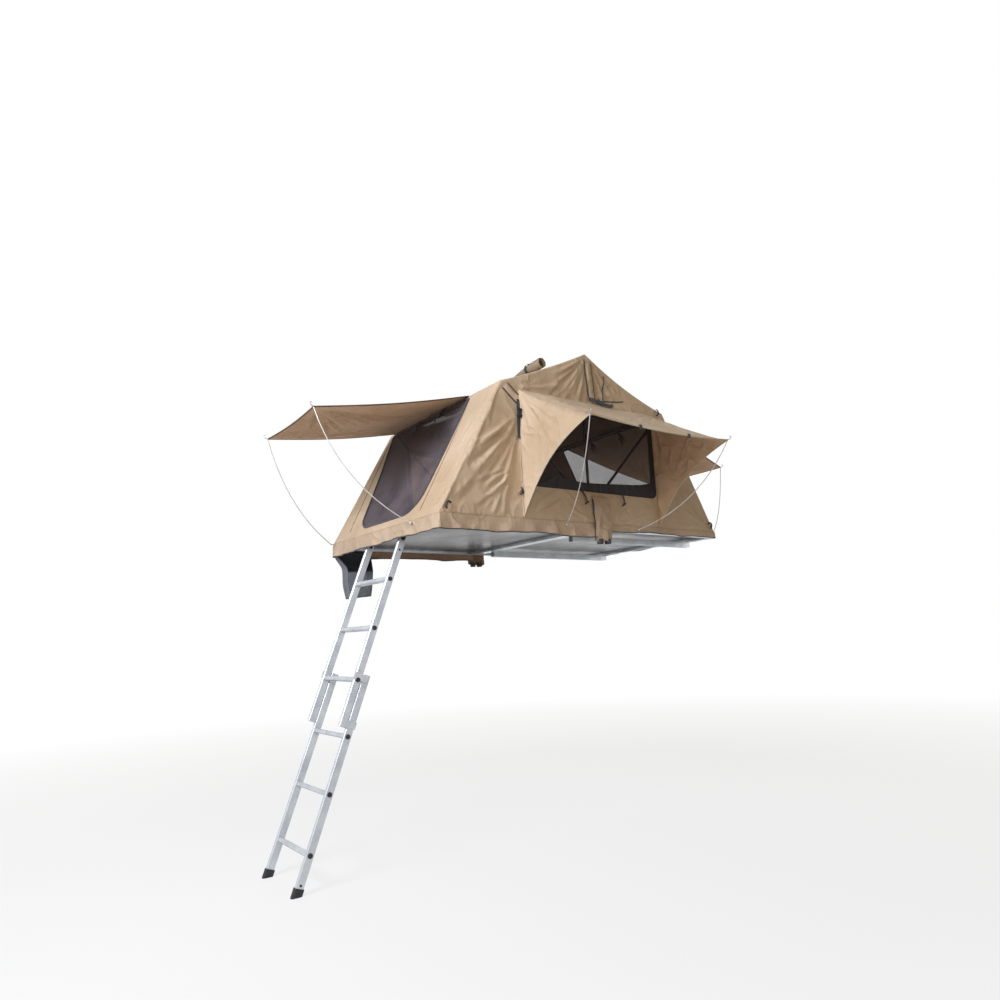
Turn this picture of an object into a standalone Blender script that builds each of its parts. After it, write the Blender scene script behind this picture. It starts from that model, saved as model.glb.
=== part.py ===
"""Soft-shell roof top tent, opened out, with its ladder down.

Two framed floor panels fold together like a clamshell on a pin at each side. Three bows swing
on the same pins and hold up the canvas. Awnings are propped on spring rods, and a ladder in two
sliding sections hangs from the panel that folds out.

Units are metres, +Z is up. The origin lies midway between the two mounting rails, on the plane
that rests on the rack. The ladder hangs at -X.
"""

import bpy
import bmesh
from math import atan2, cos, hypot, pi, radians, sin, tan
from mathutils import Matrix, Vector

# Base
PANEL_LENGTH = 1.18
BASE_WIDTH = 1.42
PANEL_THICKNESS = 0.025
FRAME_HEIGHT = 0.045
FRAME_DEPTH = 0.035
FRAME_WALL = 0.003
FOLD_GAP = 0.003
CLEARANCE = 0.0003

# Mounting rails under the fixed panel
RAIL_HEIGHT = 0.040
RAIL_WIDTH = 0.042
RAIL_WALL = 0.003
RAIL_SLOT = 0.018
RAIL_SPACING = 0.90

# Hinge of the clamshell
HINGE_RISE = 0.120
HINGE_PIN_RADIUS = 0.005
HINGE_HEAD_RADIUS = 0.011
HINGE_HEAD_HEIGHT = 0.003
HINGE_PLATE = 0.005
HINGE_EYE_RADIUS = 0.016
HINGE_FOOT_START = 0.010
HINGE_FOOT_LENGTH = 0.080
HINGE_FOOT_WIDTH = 0.024
HINGE_FOOT_THICKNESS = 0.004

# Bows
BOW_TUBE_RADIUS = 0.0095
BOW_BEND_RADIUS = 0.060
BOW_PITCH = 0.026
BOW_LUG_RADIUS = 0.012
BOW_LUG_THICKNESS = 0.008
BOW_TUBE_START = 0.022
BOW_TONGUE_TAPER = 0.7

# Canvas: the outline of the side wall
SHOULDER_REACH = 0.718
SHOULDER_HEIGHT = 0.838
RIDGE_HEIGHT = 1.147
FABRIC = 0.002
SEAM_INSET = 0.0011

# Mattress
MATTRESS_WIDTH = 1.19
MATTRESS_END_GAP = 0.060
MATTRESS_EDGE = 0.046
MATTRESS_CROWN = 0.012
MATTRESS_DRAW_IN = 0.006
MATTRESS_CORNER = 0.060

# Skirts
SKIRT_DROP_OUT = 0.089
SKIRT_DROP_FIXED = 0.044
SKIRT_FOLD_DEPTH = 0.009
SKIRT_FOLD_PITCH = 0.165
SKIRT_CORNER = 0.001
SKIRT_STEP = 0.034

# Windows in the side walls and doors in the end walls
WINDOW_HALF_LENGTH = 0.600
WINDOW_BOTTOM = 0.210
WINDOW_TOP = 0.760
WINDOW_CORNER = 0.035
DOOR_NEAR = 0.395
DOOR_FAR_TOP = 0.630
DOOR_FAR_BOTTOM = 0.340
DOOR_BOTTOM = 0.052
DOOR_TOP = 0.815
DOOR_CORNER = 0.150
DOOR_TOP_CORNER = 0.020
MESH_THICKNESS = 0.001

# Vent in the roof, under a rolled cover
VENT_LENGTH = 0.300
VENT_WIDTH = 1.060
VENT_FROM_RIDGE = 0.350
VENT_CORNER = 0.040
ROLL_RADIUS = 0.040
ROLL_BORE = 0.018
ROLL_LENGTH = 1.200
ROLL_FROM_RIDGE = 0.300

# Side awnings with their wings
SIDE_AWNING_ROOT = 0.800
SIDE_AWNING_HALF = 0.590
SIDE_AWNING_REACH = 0.617
SIDE_AWNING_TIP = 0.474
WING_FOOT = 0.012
WING_HOLLOW = 0.040
AWNING_SAG = 0.028

# End awnings
END_AWNING_NEAR = 0.365
END_AWNING_FAR = 0.630
END_TIP_NEAR = 0.360
END_TIP_FAR = 0.395
END_TIP_REACH = 1.755
END_TIP_HEIGHT = 0.612
END_AWNING_SAG = 0.022

# Spring rods
ROD_RADIUS = 0.0028
ROD_BALL_RADIUS = 0.006
ROD_STUD_RADIUS = 0.003
ROD_STANDOFF = 0.022
CORNER_ROD_STANDOFF = 0.036
SIDE_ROD_FOOT_OUT = 0.280
SIDE_ROD_FOOT_FIXED = 0.360
SIDE_ROD_DROP = 0.026
END_ROD_NEAR = 0.430
END_ROD_FAR = 0.665
END_ROD_DROP_NEAR = 0.020
END_ROD_DROP_FAR = 0.008
ROD_BOW = 0.085

# Fabric cover over the fold at each side
SLEEVE_START = -0.030
SLEEVE_LENGTH = 0.145
SLEEVE_TOP = 0.175
SLEEVE_DROP = 0.115
SLEEVE_BELLY = 0.030

# Ladder
LADDER_LEAN = radians(20.5)
LADDER_GAUGE = 0.434
LADDER_RAIL_DEPTH = 0.045
LADDER_RAIL_WIDTH = 0.022
LADDER_UPPER = 1.120
LADDER_LOWER = 1.140
LADDER_OVERLAP = 0.300
LADDER_TOP = 0.014
LADDER_CHAMFER = 0.004
FIRST_RUNG = 0.260
RUNG_PITCH = 0.300
RUNG_DEPTH = 0.032
RUNG_HEIGHT = 0.024
LADDER_PIVOT_INSET = 0.040
PIVOT_BOLT_RADIUS = 0.005
PIVOT_HEAD_RADIUS = 0.009
PIVOT_HEAD_HEIGHT = 0.005
BRACKET_PLATE = 0.004
BRACKET_LENGTH = 0.060
GUIDE_PLATE = 0.003
GUIDE_LENGTH = 0.040
GUIDE_LIP = 0.010
GUIDE_RUNNING_GAP = 0.0005
FOOT_LENGTH = 0.045
FOOT_WALL = 0.004

# Shoe bag
BAG_WIDTH = 0.250
BAG_DEPTH = 0.100
BAG_HEIGHT = 0.345
BAG_POCKET_HEIGHT = 0.190
BAG_WALL = 0.004
BAG_END_GAP = 0.012

# Worked out from the sizes above
HALF_WIDTH = BASE_WIDTH / 2
FOLD_X = -PANEL_LENGTH / 2
SEAM_Z = RAIL_HEIGHT + CLEARANCE + FRAME_HEIGHT
HINGE = Vector((FOLD_X, 0, SEAM_Z + HINGE_RISE))
END_SLOPE = atan2(SHOULDER_HEIGHT, PANEL_LENGTH - SHOULDER_REACH)
ROOF_SLOPE = atan2(RIDGE_HEIGHT - SHOULDER_HEIGHT, SHOULDER_REACH)
INNER_HALF_WIDTH = HALF_WIDTH - FABRIC - CLEARANCE
OUTER_PLATE_Y = HALF_WIDTH - FABRIC - HINGE_HEAD_HEIGHT - 2 * CLEARANCE - HINGE_PLATE - 0.001
INNER_PLATE_Y = OUTER_PLATE_Y - HINGE_PLATE - CLEARANCE
BOW_PLANES = [INNER_PLATE_Y - BOW_PITCH * (k + 0.55) for k in range(3)]
HALVES = {"fixed": 1, "out": -1}
SIDES = {"near": -1, "far": 1}

COLOURS = {
    "canvas": ((0.42, 0.30, 0.18), 0.85, 0.0),
    "mesh": ((0.05, 0.045, 0.05), 0.9, 0.0),
    "aluminium": ((0.72, 0.74, 0.76), 0.35, 1.0),
    "steel": ((0.45, 0.45, 0.47), 0.4, 1.0),
    "panel": ((0.30, 0.30, 0.31), 0.3, 0.4),
    "black": ((0.02, 0.02, 0.022), 0.5, 0.0),
    "foam": ((0.55, 0.52, 0.46), 0.9, 0.0),
    "rod": ((0.75, 0.74, 0.70), 0.4, 0.3),
    "bag": ((0.07, 0.08, 0.09), 0.8, 0.0),
}


def place(u, y, w):
    """The point u along from the fold line and w above the seam of wall and floor."""
    return Vector((FOLD_X + u, y, SEAM_Z + w))


def material(name, finish):
    """A material of its own for each piece."""
    colour, roughness, metallic = COLOURS[finish]
    made = bpy.data.materials.new(name)
    made.use_nodes = True
    shader = made.node_tree.nodes["Principled BSDF"]
    shader.inputs["Base Color"].default_value = (*colour, 1)
    shader.inputs["Roughness"].default_value = roughness
    shader.inputs["Metallic"].default_value = metallic
    return made


def finish_mesh(name, bm, finish, sharp=None):
    """Turns a bmesh into a named object with its own material."""
    bmesh.ops.recalc_face_normals(bm, faces=bm.faces)
    mesh = bpy.data.meshes.new(name)
    bm.to_mesh(mesh)
    bm.free()
    if sharp is not None:
        mesh.shade_smooth()
        mesh.set_sharp_from_angle(angle=radians(sharp))
    mesh.materials.append(material(name, finish))
    obj = bpy.data.objects.new(name, mesh)
    bpy.context.collection.objects.link(obj)
    return obj


def settle(obj):
    """Bakes an object's modifiers into its mesh."""
    graph = bpy.context.evaluated_depsgraph_get()
    baked = bpy.data.meshes.new_from_object(obj.evaluated_get(graph), depsgraph=graph)
    obj.modifiers.clear()
    obj.data = baked
    return obj


def combine(obj, tools, operation):
    """Joins tools to an object, or cuts them from it, with exact booleans."""
    for tool in tools:
        step = obj.modifiers.new("combine", "BOOLEAN")
        step.operation = operation
        step.solver = "EXACT"
        step.object = tool
        settle(obj)
        bpy.data.objects.remove(tool)
    return obj


def prism(name, outline, to_world, low, high, finish, holes=()):
    """A flat outline with holes, extruded. to_world maps (a, b, depth) to a point."""
    bm = bmesh.new()
    edges = []
    for loop in (outline, *holes):
        verts = [bm.verts.new(to_world(a, b, low)) for a, b in loop]
        edges += [bm.edges.new((verts[i - 1], verts[i])) for i in range(len(verts))]
    bmesh.ops.triangle_fill(bm, use_beauty=True, use_dissolve=False, edges=edges)
    shift = to_world(0, 0, high) - to_world(0, 0, low)
    made = bmesh.ops.extrude_face_region(bm, geom=bm.faces[:], use_keep_orig=True)
    moved = [v for v in made["geom"] if isinstance(v, bmesh.types.BMVert)]
    bmesh.ops.translate(bm, vec=shift, verts=moved)
    return finish_mesh(name, bm, finish)


def across(a, b, depth):
    """Maps an outline in the side view, in u and w, to the world. depth runs along Y."""
    return place(a, depth, b)


def box(name, low, high, finish):
    """A box between two corners."""
    bm = bmesh.new()
    bmesh.ops.create_cube(bm, size=1)
    size = Vector(high) - Vector(low)
    middle = (Vector(high) + Vector(low)) / 2
    bmesh.ops.scale(bm, vec=size, verts=bm.verts)
    bmesh.ops.translate(bm, vec=middle, verts=bm.verts)
    return finish_mesh(name, bm, finish)


def cylinder(name, start, end, radius, finish, sides=16):
    """A round bar between two points."""
    bm = bmesh.new()
    run = Vector(end) - Vector(start)
    bmesh.ops.create_cone(
        bm, cap_ends=True, segments=sides, radius1=radius, radius2=radius, depth=run.length
    )
    turn = run.to_track_quat("Z", "Y").to_matrix().to_4x4()
    bmesh.ops.transform(
        bm, matrix=Matrix.Translation((Vector(start) + Vector(end)) / 2) @ turn, verts=bm.verts
    )
    return finish_mesh(name, bm, finish, sharp=30)


def ball(name, centre, radius, finish):
    """A small ball."""
    bm = bmesh.new()
    bmesh.ops.create_uvsphere(bm, u_segments=12, v_segments=8, radius=radius)
    bmesh.ops.translate(bm, vec=centre, verts=bm.verts)
    return finish_mesh(name, bm, finish, sharp=60)


def turned(name, profile, centre, finish, sides=20):
    """A profile of (radius, height) turned about a line along Y through centre."""
    bm = bmesh.new()
    verts = [bm.verts.new((radius, height, 0)) for radius, height in profile]
    edges = [bm.edges.new(pair) for pair in zip(verts, verts[1:])]
    bmesh.ops.spin(
        bm, geom=verts + edges, cent=(0, 0, 0), axis=(0, 1, 0), angle=2 * pi, steps=sides,
        use_merge=True,
    )
    bmesh.ops.remove_doubles(bm, verts=bm.verts, dist=0.00001)
    bmesh.ops.translate(bm, vec=centre, verts=bm.verts)
    return finish_mesh(name, bm, finish, sharp=30)


def arc(middle, start, end, steps):
    """Points on the short arc about middle, from start to end."""
    first, last = start - middle, end - middle
    turn = first.angle(last)
    square = (last - first * cos(turn)) / sin(turn)
    return [
        middle + first * cos(turn * k / steps) + square * sin(turn * k / steps)
        for k in range(steps + 1)
    ]


def round_outline(corners, radii, steps=6):
    """A closed outline with each corner rounded to its own radius."""
    points = []
    for i, corner in enumerate(corners):
        here = Vector(corner)
        back = (Vector(corners[i - 1]) - here).normalized()
        on = (Vector(corners[(i + 1) % len(corners)]) - here).normalized()
        if radii[i] <= 0:
            points.append(here)
            continue
        half = back.angle(on) / 2
        run = radii[i] / tan(half)
        middle = here + (back + on).normalized() * radii[i] / sin(half)
        points += arc(middle, here + back * run, here + on * run, steps)
    return [tuple(point) for point in points]


def bent_path(corners, radius, steps=6):
    """An open path through corners, with the inner ones rounded."""
    points = [Vector(corners[0])]
    for before, here, after in zip(corners, corners[1:], corners[2:]):
        back = (before - here).normalized()
        on = (after - here).normalized()
        half = back.angle(on) / 2
        run = radius / tan(half)
        middle = here + (back + on).normalized() * radius / sin(half)
        points += arc(middle, here + back * run, here + on * run, steps)
    return points + [Vector(corners[-1])]


def tube(name, points, radius, finish, resolution=2):
    """A round tube along points, with filled ends."""
    curve = bpy.data.curves.new(name, "CURVE")
    curve.dimensions = "3D"
    curve.bevel_depth = radius
    curve.bevel_resolution = resolution
    curve.use_fill_caps = True
    spline = curve.splines.new("POLY")
    spline.points.add(len(points) - 1)
    for target, point in zip(spline.points, points):
        target.co = (*point, 1)
    curve.materials.append(material(name, finish))
    obj = bpy.data.objects.new(name, curve)
    bpy.context.collection.objects.link(obj)
    return obj


def to_mesh(obj):
    """Replaces a curve object by a mesh object of the same name."""
    graph = bpy.context.evaluated_depsgraph_get()
    mesh = bpy.data.meshes.new_from_object(obj.evaluated_get(graph), depsgraph=graph)
    name = obj.name
    bpy.data.objects.remove(obj)
    bm = bmesh.new()
    bm.from_mesh(mesh)
    bmesh.ops.remove_doubles(bm, verts=bm.verts, dist=0.00001)
    bmesh.ops.recalc_face_normals(bm, faces=bm.faces)
    bm.to_mesh(mesh)
    bm.free()
    made = bpy.data.objects.new(name, mesh)
    bpy.context.collection.objects.link(made)
    return made


def cloth(name, rows, finish, thickness=FABRIC, offset=1):
    """A sheet through a grid of points, thickened to one side of its normals."""
    bm = bmesh.new()
    grid = [[bm.verts.new(point) for point in row] for row in rows]
    for lower, upper in zip(grid, grid[1:]):
        for a, b, c, d in zip(lower, lower[1:], upper[1:], upper):
            bm.faces.new((a, b, c, d))
    bmesh.ops.remove_doubles(bm, verts=bm.verts, dist=0.00002)
    mesh = bpy.data.meshes.new(name)
    bm.to_mesh(mesh)
    bm.free()
    mesh.materials.append(material(name, finish))
    mesh.shade_smooth()
    obj = bpy.data.objects.new(name, mesh)
    bpy.context.collection.objects.link(obj)
    shell = obj.modifiers.new("thickness", "SOLIDIFY")
    shell.thickness = thickness
    shell.offset = offset
    return obj


def pivot(name, point, parent=None):
    """An empty on a joint's axis, which the pieces of a moving body hang from."""
    empty = bpy.data.objects.new(name, None)
    empty.empty_display_size = 0.05
    bpy.context.collection.objects.link(empty)
    empty["at"] = tuple(point)
    empty.parent = parent
    empty.location = Vector(point) - (Vector(parent["at"]) if parent else Vector())
    return empty


def hang(obj, empty):
    """Moves an object's origin to a pivot and hangs it there."""
    obj.data.transform(Matrix.Translation(-Vector(empty["at"])))
    obj.parent = empty


def frame_profile():
    """The section of the frame: a web with a shelf for the panel and a foot flange."""
    depth, wall, height = FRAME_DEPTH, FRAME_WALL, FRAME_HEIGHT
    shelf = PANEL_THICKNESS + CLEARANCE
    return [
        (0, 0), (wall, 0), (wall, -shelf), (depth, -shelf),
        (depth, -shelf - wall), (wall, -shelf - wall), (wall, -height + wall),
        (depth, -height + wall), (depth, -height), (0, -height),
    ]


def rod_feet(half):
    """Where the four spring rods of one half stand: (label, ball centre, direction out)."""
    sign = HALVES[half]
    foot = SIDE_ROD_FOOT_FIXED if half == "fixed" else SIDE_ROD_FOOT_OUT
    feet = []
    for side, facing in SIDES.items():
        out = Vector((0, facing, 0))
        face = place(sign * foot, facing * HALF_WIDTH, -SIDE_ROD_DROP)
        feet.append((side, face + out * ROD_STANDOFF, out))
    # the ends are alike under a half turn, so near and far change sides
    out = Vector((sign, 0, 0))
    for label, y, drop, standoff in (
        ("middle", END_ROD_NEAR, END_ROD_DROP_NEAR, ROD_STANDOFF),
        ("corner", -END_ROD_FAR, END_ROD_DROP_FAR, CORNER_ROD_STANDOFF),
    ):
        face = place(sign * PANEL_LENGTH, sign * y, -drop)
        feet.append((label, face + out * standoff, out))
    return feet


def stud_length(centre, out):
    """How far a rod's ball stands off the frame's face."""
    reach = HALF_WIDTH if out.y else PANEL_LENGTH
    return abs((centre - Vector((FOLD_X, 0, 0))).dot(out)) - reach


def make_frame(half):
    """The aluminium frame round one panel, mitred at its corners, with four ball studs."""
    sign = HALVES[half]
    ends = (sign * FOLD_GAP / 2, sign * PANEL_LENGTH)
    bm = bmesh.new()
    rings = []
    for u, y in ((0, -1), (1, -1), (1, 1), (0, 1)):
        along = 1 if u == 0 else -1
        rings.append([
            bm.verts.new(place(ends[u] + sign * along * d, y * (HALF_WIDTH - d), w))
            for d, w in frame_profile()
        ])
    count = len(rings[0])
    for i, ring in enumerate(rings):
        after = rings[(i + 1) % 4]
        for k in range(count):
            bm.faces.new((ring[k - 1], ring[k], after[k], after[k - 1]))
    frame = finish_mesh(f"frame_{half}", bm, "aluminium")
    tools = []
    for label, centre, out in rod_feet(half):
        root = centre - out * (stud_length(centre, out) + FRAME_WALL / 2)
        tools.append(cylinder("stud", root, centre, ROD_STUD_RADIUS, "steel", sides=10))
        tools.append(ball("ball", centre, ROD_BALL_RADIUS, "steel"))
    return combine(frame, tools, "UNION")


def make_floor(half):
    """The sandwich board that lies on the frame's shelf, flush with its top."""
    sign = HALVES[half]
    inset = FRAME_WALL + CLEARANCE
    us = sorted((sign * (FOLD_GAP / 2 + inset), sign * (PANEL_LENGTH - inset)))
    low = place(us[0], -HALF_WIDTH + inset, -PANEL_THICKNESS)
    high = place(us[1], HALF_WIDTH - inset, 0)
    return box(f"floor_{half}", low, high, "panel")


def make_mount_rail(side):
    """A channel with a slot along its underside for the clamp bolts."""
    centre = SIDES[side] * RAIL_SPACING / 2
    half, slot, wall, height = RAIL_WIDTH / 2, RAIL_SLOT / 2, RAIL_WALL, RAIL_HEIGHT
    section = [
        (-half, 0), (-slot, 0), (-slot, wall), (-half + wall, wall),
        (-half + wall, height - wall), (half - wall, height - wall), (half - wall, wall),
        (slot, wall), (slot, 0), (half, 0), (half, height), (-half, height),
    ]

    def lengthwise(a, b, depth):
        return Vector((FOLD_X + depth, centre + a, b))

    return prism(
        f"mount_rail_{side}", section, lengthwise, FOLD_GAP / 2, PANEL_LENGTH, "aluminium"
    )


def make_hinge_bracket(half, side):
    """A plate that stands on the frame and carries the pin's eye over the fold line."""
    sign, facing = HALVES[half], SIDES[side]
    layer = OUTER_PLATE_Y if half == "fixed" else INNER_PLATE_Y
    start, end = HINGE_FOOT_START, HINGE_FOOT_START + HINGE_FOOT_LENGTH
    arc_from, arc_to = radians(-20), radians(200)
    eye = [
        (HINGE_EYE_RADIUS * cos(t), HINGE_RISE + HINGE_EYE_RADIUS * sin(t))
        for t in (arc_from + (arc_to - arc_from) * k / 12 for k in range(13))
    ]
    foot = [(start, CLEARANCE), (end, CLEARANCE), (end, CLEARANCE + HINGE_FOOT_THICKNESS)]
    outline = [(sign * u, w) for u, w in foot + eye]
    low, high = sorted((facing * layer, facing * (layer + HINGE_PLATE)))
    name = f"hinge_bracket_{half}_{side}"
    plate = prism(name, outline, across, low, high, "steel")
    bottom = SEAM_Z + CLEARANCE
    us = sorted((sign * start, sign * end))
    ys = sorted((facing * (layer + HINGE_PLATE - HINGE_FOOT_WIDTH), facing * (layer + 0.002)))
    foot_plate = box(
        "foot", (FOLD_X + us[0], ys[0], bottom), (FOLD_X + us[1], ys[1], bottom + HINGE_FOOT_THICKNESS),
        "steel",
    )
    combine(plate, [foot_plate], "UNION")
    hole = cylinder(
        "hole", place(0, low - 0.01, HINGE_RISE), place(0, high + 0.01, HINGE_RISE),
        HINGE_PIN_RADIUS + CLEARANCE, "steel", sides=20,
    )
    return combine(plate, [hole], "DIFFERENCE")


def make_hinge_pin(side):
    """The pin through both brackets and the three bows, headed at both ends."""
    facing = SIDES[side]
    inner = BOW_PLANES[2] - BOW_LUG_THICKNESS / 2 - CLEARANCE - HINGE_HEAD_HEIGHT
    outer = OUTER_PLATE_Y + HINGE_PLATE + CLEARANCE + HINGE_HEAD_HEIGHT
    profile = [
        (0, inner), (HINGE_HEAD_RADIUS, inner), (HINGE_HEAD_RADIUS, inner + HINGE_HEAD_HEIGHT),
        (HINGE_PIN_RADIUS, inner + HINGE_HEAD_HEIGHT),
        (HINGE_PIN_RADIUS, outer - HINGE_HEAD_HEIGHT),
        (HINGE_HEAD_RADIUS, outer - HINGE_HEAD_HEIGHT), (HINGE_HEAD_RADIUS, outer), (0, outer),
    ]
    return turned(
        f"hinge_pin_{side}", [(r, facing * y) for r, y in profile], HINGE, "steel"
    )


def bow_tongue(angle, plane):
    """The flattened end of a bow's leg, with a round end about the hinge."""
    along = Vector((cos(angle), sin(angle)))
    aside = Vector((-sin(angle), cos(angle))) * BOW_LUG_RADIUS
    centre = Vector((0, HINGE_RISE))
    turns = [angle + pi / 2 + pi * k / 10 for k in range(11)]
    outline = [centre + Vector((cos(t), sin(t))) * BOW_LUG_RADIUS for t in turns]
    end = centre + along * (BOW_TUBE_START + BOW_LUG_THICKNESS)
    outline += [end - aside * BOW_TONGUE_TAPER, end + aside * BOW_TONGUE_TAPER]
    half = BOW_LUG_THICKNESS / 2
    return prism("tongue", [tuple(p) for p in outline], across, plane - half, plane + half, "aluminium")


def make_bow(name, angle, reach, plane):
    """A bow: a tube bent in two places, with a flat eye for the hinge pin on each leg."""
    out = Vector((cos(angle), 0, sin(angle)))
    leg = Vector((0, plane, 0))
    start = BOW_TUBE_START
    corners = [
        HINGE - leg + out * start, HINGE - leg + out * reach,
        HINGE + leg + out * reach, HINGE + leg + out * start,
    ]
    bow = to_mesh(tube(name, bent_path(corners, BOW_BEND_RADIUS), BOW_TUBE_RADIUS, "aluminium", 3))
    half = Vector((0, BOW_LUG_THICKNESS, 0))
    tongues, holes = [], []
    for facing in SIDES.values():
        end = HINGE + leg * facing
        tongues.append(bow_tongue(angle, plane * facing))
        holes.append(
            cylinder("hole", end - half, end + half, HINGE_PIN_RADIUS + CLEARANCE, "steel", 20)
        )
    combine(bow, tongues, "UNION")
    combine(bow, holes, "DIFFERENCE")
    bow.data.materials.clear()
    bow.data.materials.append(material(name, "aluminium"))
    return bow


def make_mattress(half):
    """A foam mattress with a crowned top and drawn-in sides."""
    sign = HALVES[half]
    us = sorted((sign * (FOLD_GAP / 2 + CLEARANCE), sign * (PANEL_LENGTH - MATTRESS_END_GAP)))
    middle, half_length = sum(us) / 2, (us[1] - us[0]) / 2
    bottom = CLEARANCE
    levels = [
        (0.004, 0), (0, 0.2), (MATTRESS_DRAW_IN, 0.5), (0, 0.8), (0.004, 0.96), (0.014, 1.03),
    ]
    bm = bmesh.new()
    rings = []
    for inset, rise in levels:
        a, b = half_length - inset, MATTRESS_WIDTH / 2 - inset
        outline = round_outline([(-a, -b), (a, -b), (a, b), (-a, b)], [MATTRESS_CORNER] * 4)
        height = bottom + MATTRESS_EDGE * rise
        rings.append([bm.verts.new(place(middle + x, y, height)) for x, y in outline])
    for shrink, lift in ((0.90, 0.45), (0.70, 0.80), (0.35, 1.0)):
        height = bottom + MATTRESS_EDGE + MATTRESS_CROWN * lift
        a, b = half_length * shrink, MATTRESS_WIDTH / 2 * shrink
        outline = round_outline([(-a, -b), (a, -b), (a, b), (-a, b)], [MATTRESS_CORNER] * 4)
        rings.append([bm.verts.new(place(middle + x, y, height)) for x, y in outline])
    for lower, upper in zip(rings, rings[1:]):
        for k in range(len(lower)):
            bm.faces.new((lower[k - 1], lower[k], upper[k], upper[k - 1]))
    bm.faces.new(rings[0])
    bm.faces.new(rings[-1])
    return finish_mesh(f"mattress_{half}", bm, "foam", sharp=60)


def skirt_route(half):
    """Points and outward directions round the outside of one frame, from fold to fold."""
    sign = HALVES[half]
    near, end = -HALF_WIDTH - CLEARANCE, sign * (PANEL_LENGTH + CLEARANCE)
    corner = SKIRT_CORNER
    straight = PANEL_LENGTH - corner
    steps = round(straight / SKIRT_STEP)
    route = [(sign * (FOLD_GAP + (straight - FOLD_GAP) * k / steps), near, 0, -1) for k in range(steps)]
    for k in range(4):
        t = pi / 2 * k / 3
        route.append((
            end - sign * corner * (1 - sin(t)), near + corner * (1 - cos(t)), sign * sin(t), -cos(t),
        ))
    width = 2 * (HALF_WIDTH + CLEARANCE - corner)
    steps = round(width / SKIRT_STEP)
    first_half = route[:]
    route += [(end, near + corner + width * k / steps, sign, 0) for k in range(1, steps)]
    route += [(u, -y, nu, -ny) for u, y, nu, ny in reversed(first_half)]
    return route


def make_skirt(half):
    """The canvas that hangs from the frame's top edge, in soft folds that open at the hem."""
    drop = SKIRT_DROP_OUT if half == "out" else SKIRT_DROP_FIXED
    route = skirt_route(half)
    length, travelled = [0.0], 0.0
    for (u0, y0, *_), (u1, y1, *_) in zip(route, route[1:]):
        travelled += hypot(u1 - u0, y1 - y0)
        length.append(travelled)
    rows = []
    for level in (0, 0.35, 0.7, 1):
        row = []
        for (u, y, nu, ny), s in zip(route, length):
            wave = 0.5 + 0.35 * sin(2 * pi * s / SKIRT_FOLD_PITCH) + 0.15 * sin(5.3 * pi * s + 1)
            out = SKIRT_FOLD_DEPTH * wave * level ** 1.3 * drop / SKIRT_DROP_OUT
            row.append(place(u + nu * out, y + ny * out, -drop * level))
        rows.append(row)
    skirt = settle(cloth(f"skirt_{half}", rows, "canvas", offset=1 if half == "out" else -1))
    holes = [
        cylinder(
            "hole", centre - out * 2 * stud_length(centre, out), centre,
            ROD_STUD_RADIUS + CLEARANCE * 3, "steel", 10,
        )
        for label, centre, out in rod_feet(half)
    ]
    return combine(skirt, holes, "DIFFERENCE")


def window_outline(shrink=0.0):
    """The window in a side wall, seen from the side."""
    a, low, high = WINDOW_HALF_LENGTH - shrink, WINDOW_BOTTOM + shrink, WINDOW_TOP - shrink
    return round_outline([(-a, low), (a, low), (a, high), (-a, high)], [WINDOW_CORNER] * 4, 4)


def make_side_wall(side):
    """The gabled side wall, with the window cut out."""
    facing = SIDES[side]
    trim = 0.0012
    outline = [
        (-PANEL_LENGTH + trim, CLEARANCE), (PANEL_LENGTH - trim, CLEARANCE),
        (SHOULDER_REACH, SHOULDER_HEIGHT), (0, RIDGE_HEIGHT), (-SHOULDER_REACH, SHOULDER_HEIGHT),
    ]
    low, high = sorted((facing * (HALF_WIDTH - FABRIC), facing * HALF_WIDTH))
    return prism(
        f"side_wall_{side}", outline, across, low, high, "canvas", holes=[window_outline()]
    )


def make_window_mesh(side):
    """The insect mesh that fills a window."""
    facing = SIDES[side]
    middle = HALF_WIDTH - FABRIC / 2
    low, high = sorted((facing * (middle - MESH_THICKNESS / 2), facing * (middle + MESH_THICKNESS / 2)))
    return prism(f"window_mesh_{side}", window_outline(CLEARANCE), across, low, high, "mesh")


def end_wall_map(half):
    """Maps (y, distance up the slope, depth outwards) on an end wall to the world."""
    sign = HALVES[half]
    foot = place(sign * PANEL_LENGTH, 0, 0)
    up = Vector((-sign * cos(END_SLOPE), 0, sin(END_SLOPE)))
    out = Vector((sign * sin(END_SLOPE), 0, cos(END_SLOPE)))

    def mapped(a, b, depth):
        return foot + Vector((0, a, 0)) + up * b + out * depth

    return mapped


def roof_map(half):
    """Maps (y, distance down from the ridge, depth outwards) on a roof slope to the world."""
    sign = HALVES[half]
    ridge = place(0, 0, RIDGE_HEIGHT)
    down = Vector((sign * cos(ROOF_SLOPE), 0, -sin(ROOF_SLOPE)))
    out = Vector((sign * sin(ROOF_SLOPE), 0, cos(ROOF_SLOPE)))

    def mapped(a, b, depth):
        return ridge + Vector((0, a, 0)) + down * b + out * depth

    return mapped


def door_outline(half, shrink=0.0):
    """The door in an end wall: upright on one side, slanted on the other."""
    side = HALVES[half]
    steep = sin(END_SLOPE)
    corners = [
        (side * (DOOR_NEAR - shrink), DOOR_BOTTOM / steep + shrink),
        (side * (DOOR_NEAR - shrink), DOOR_TOP / steep - shrink),
        (-side * (DOOR_FAR_TOP - shrink), DOOR_TOP / steep - shrink),
        (-side * (DOOR_FAR_BOTTOM - shrink), DOOR_BOTTOM / steep + shrink),
    ]
    return round_outline(corners, [DOOR_CORNER, DOOR_TOP_CORNER, DOOR_TOP_CORNER, DOOR_CORNER])


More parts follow.
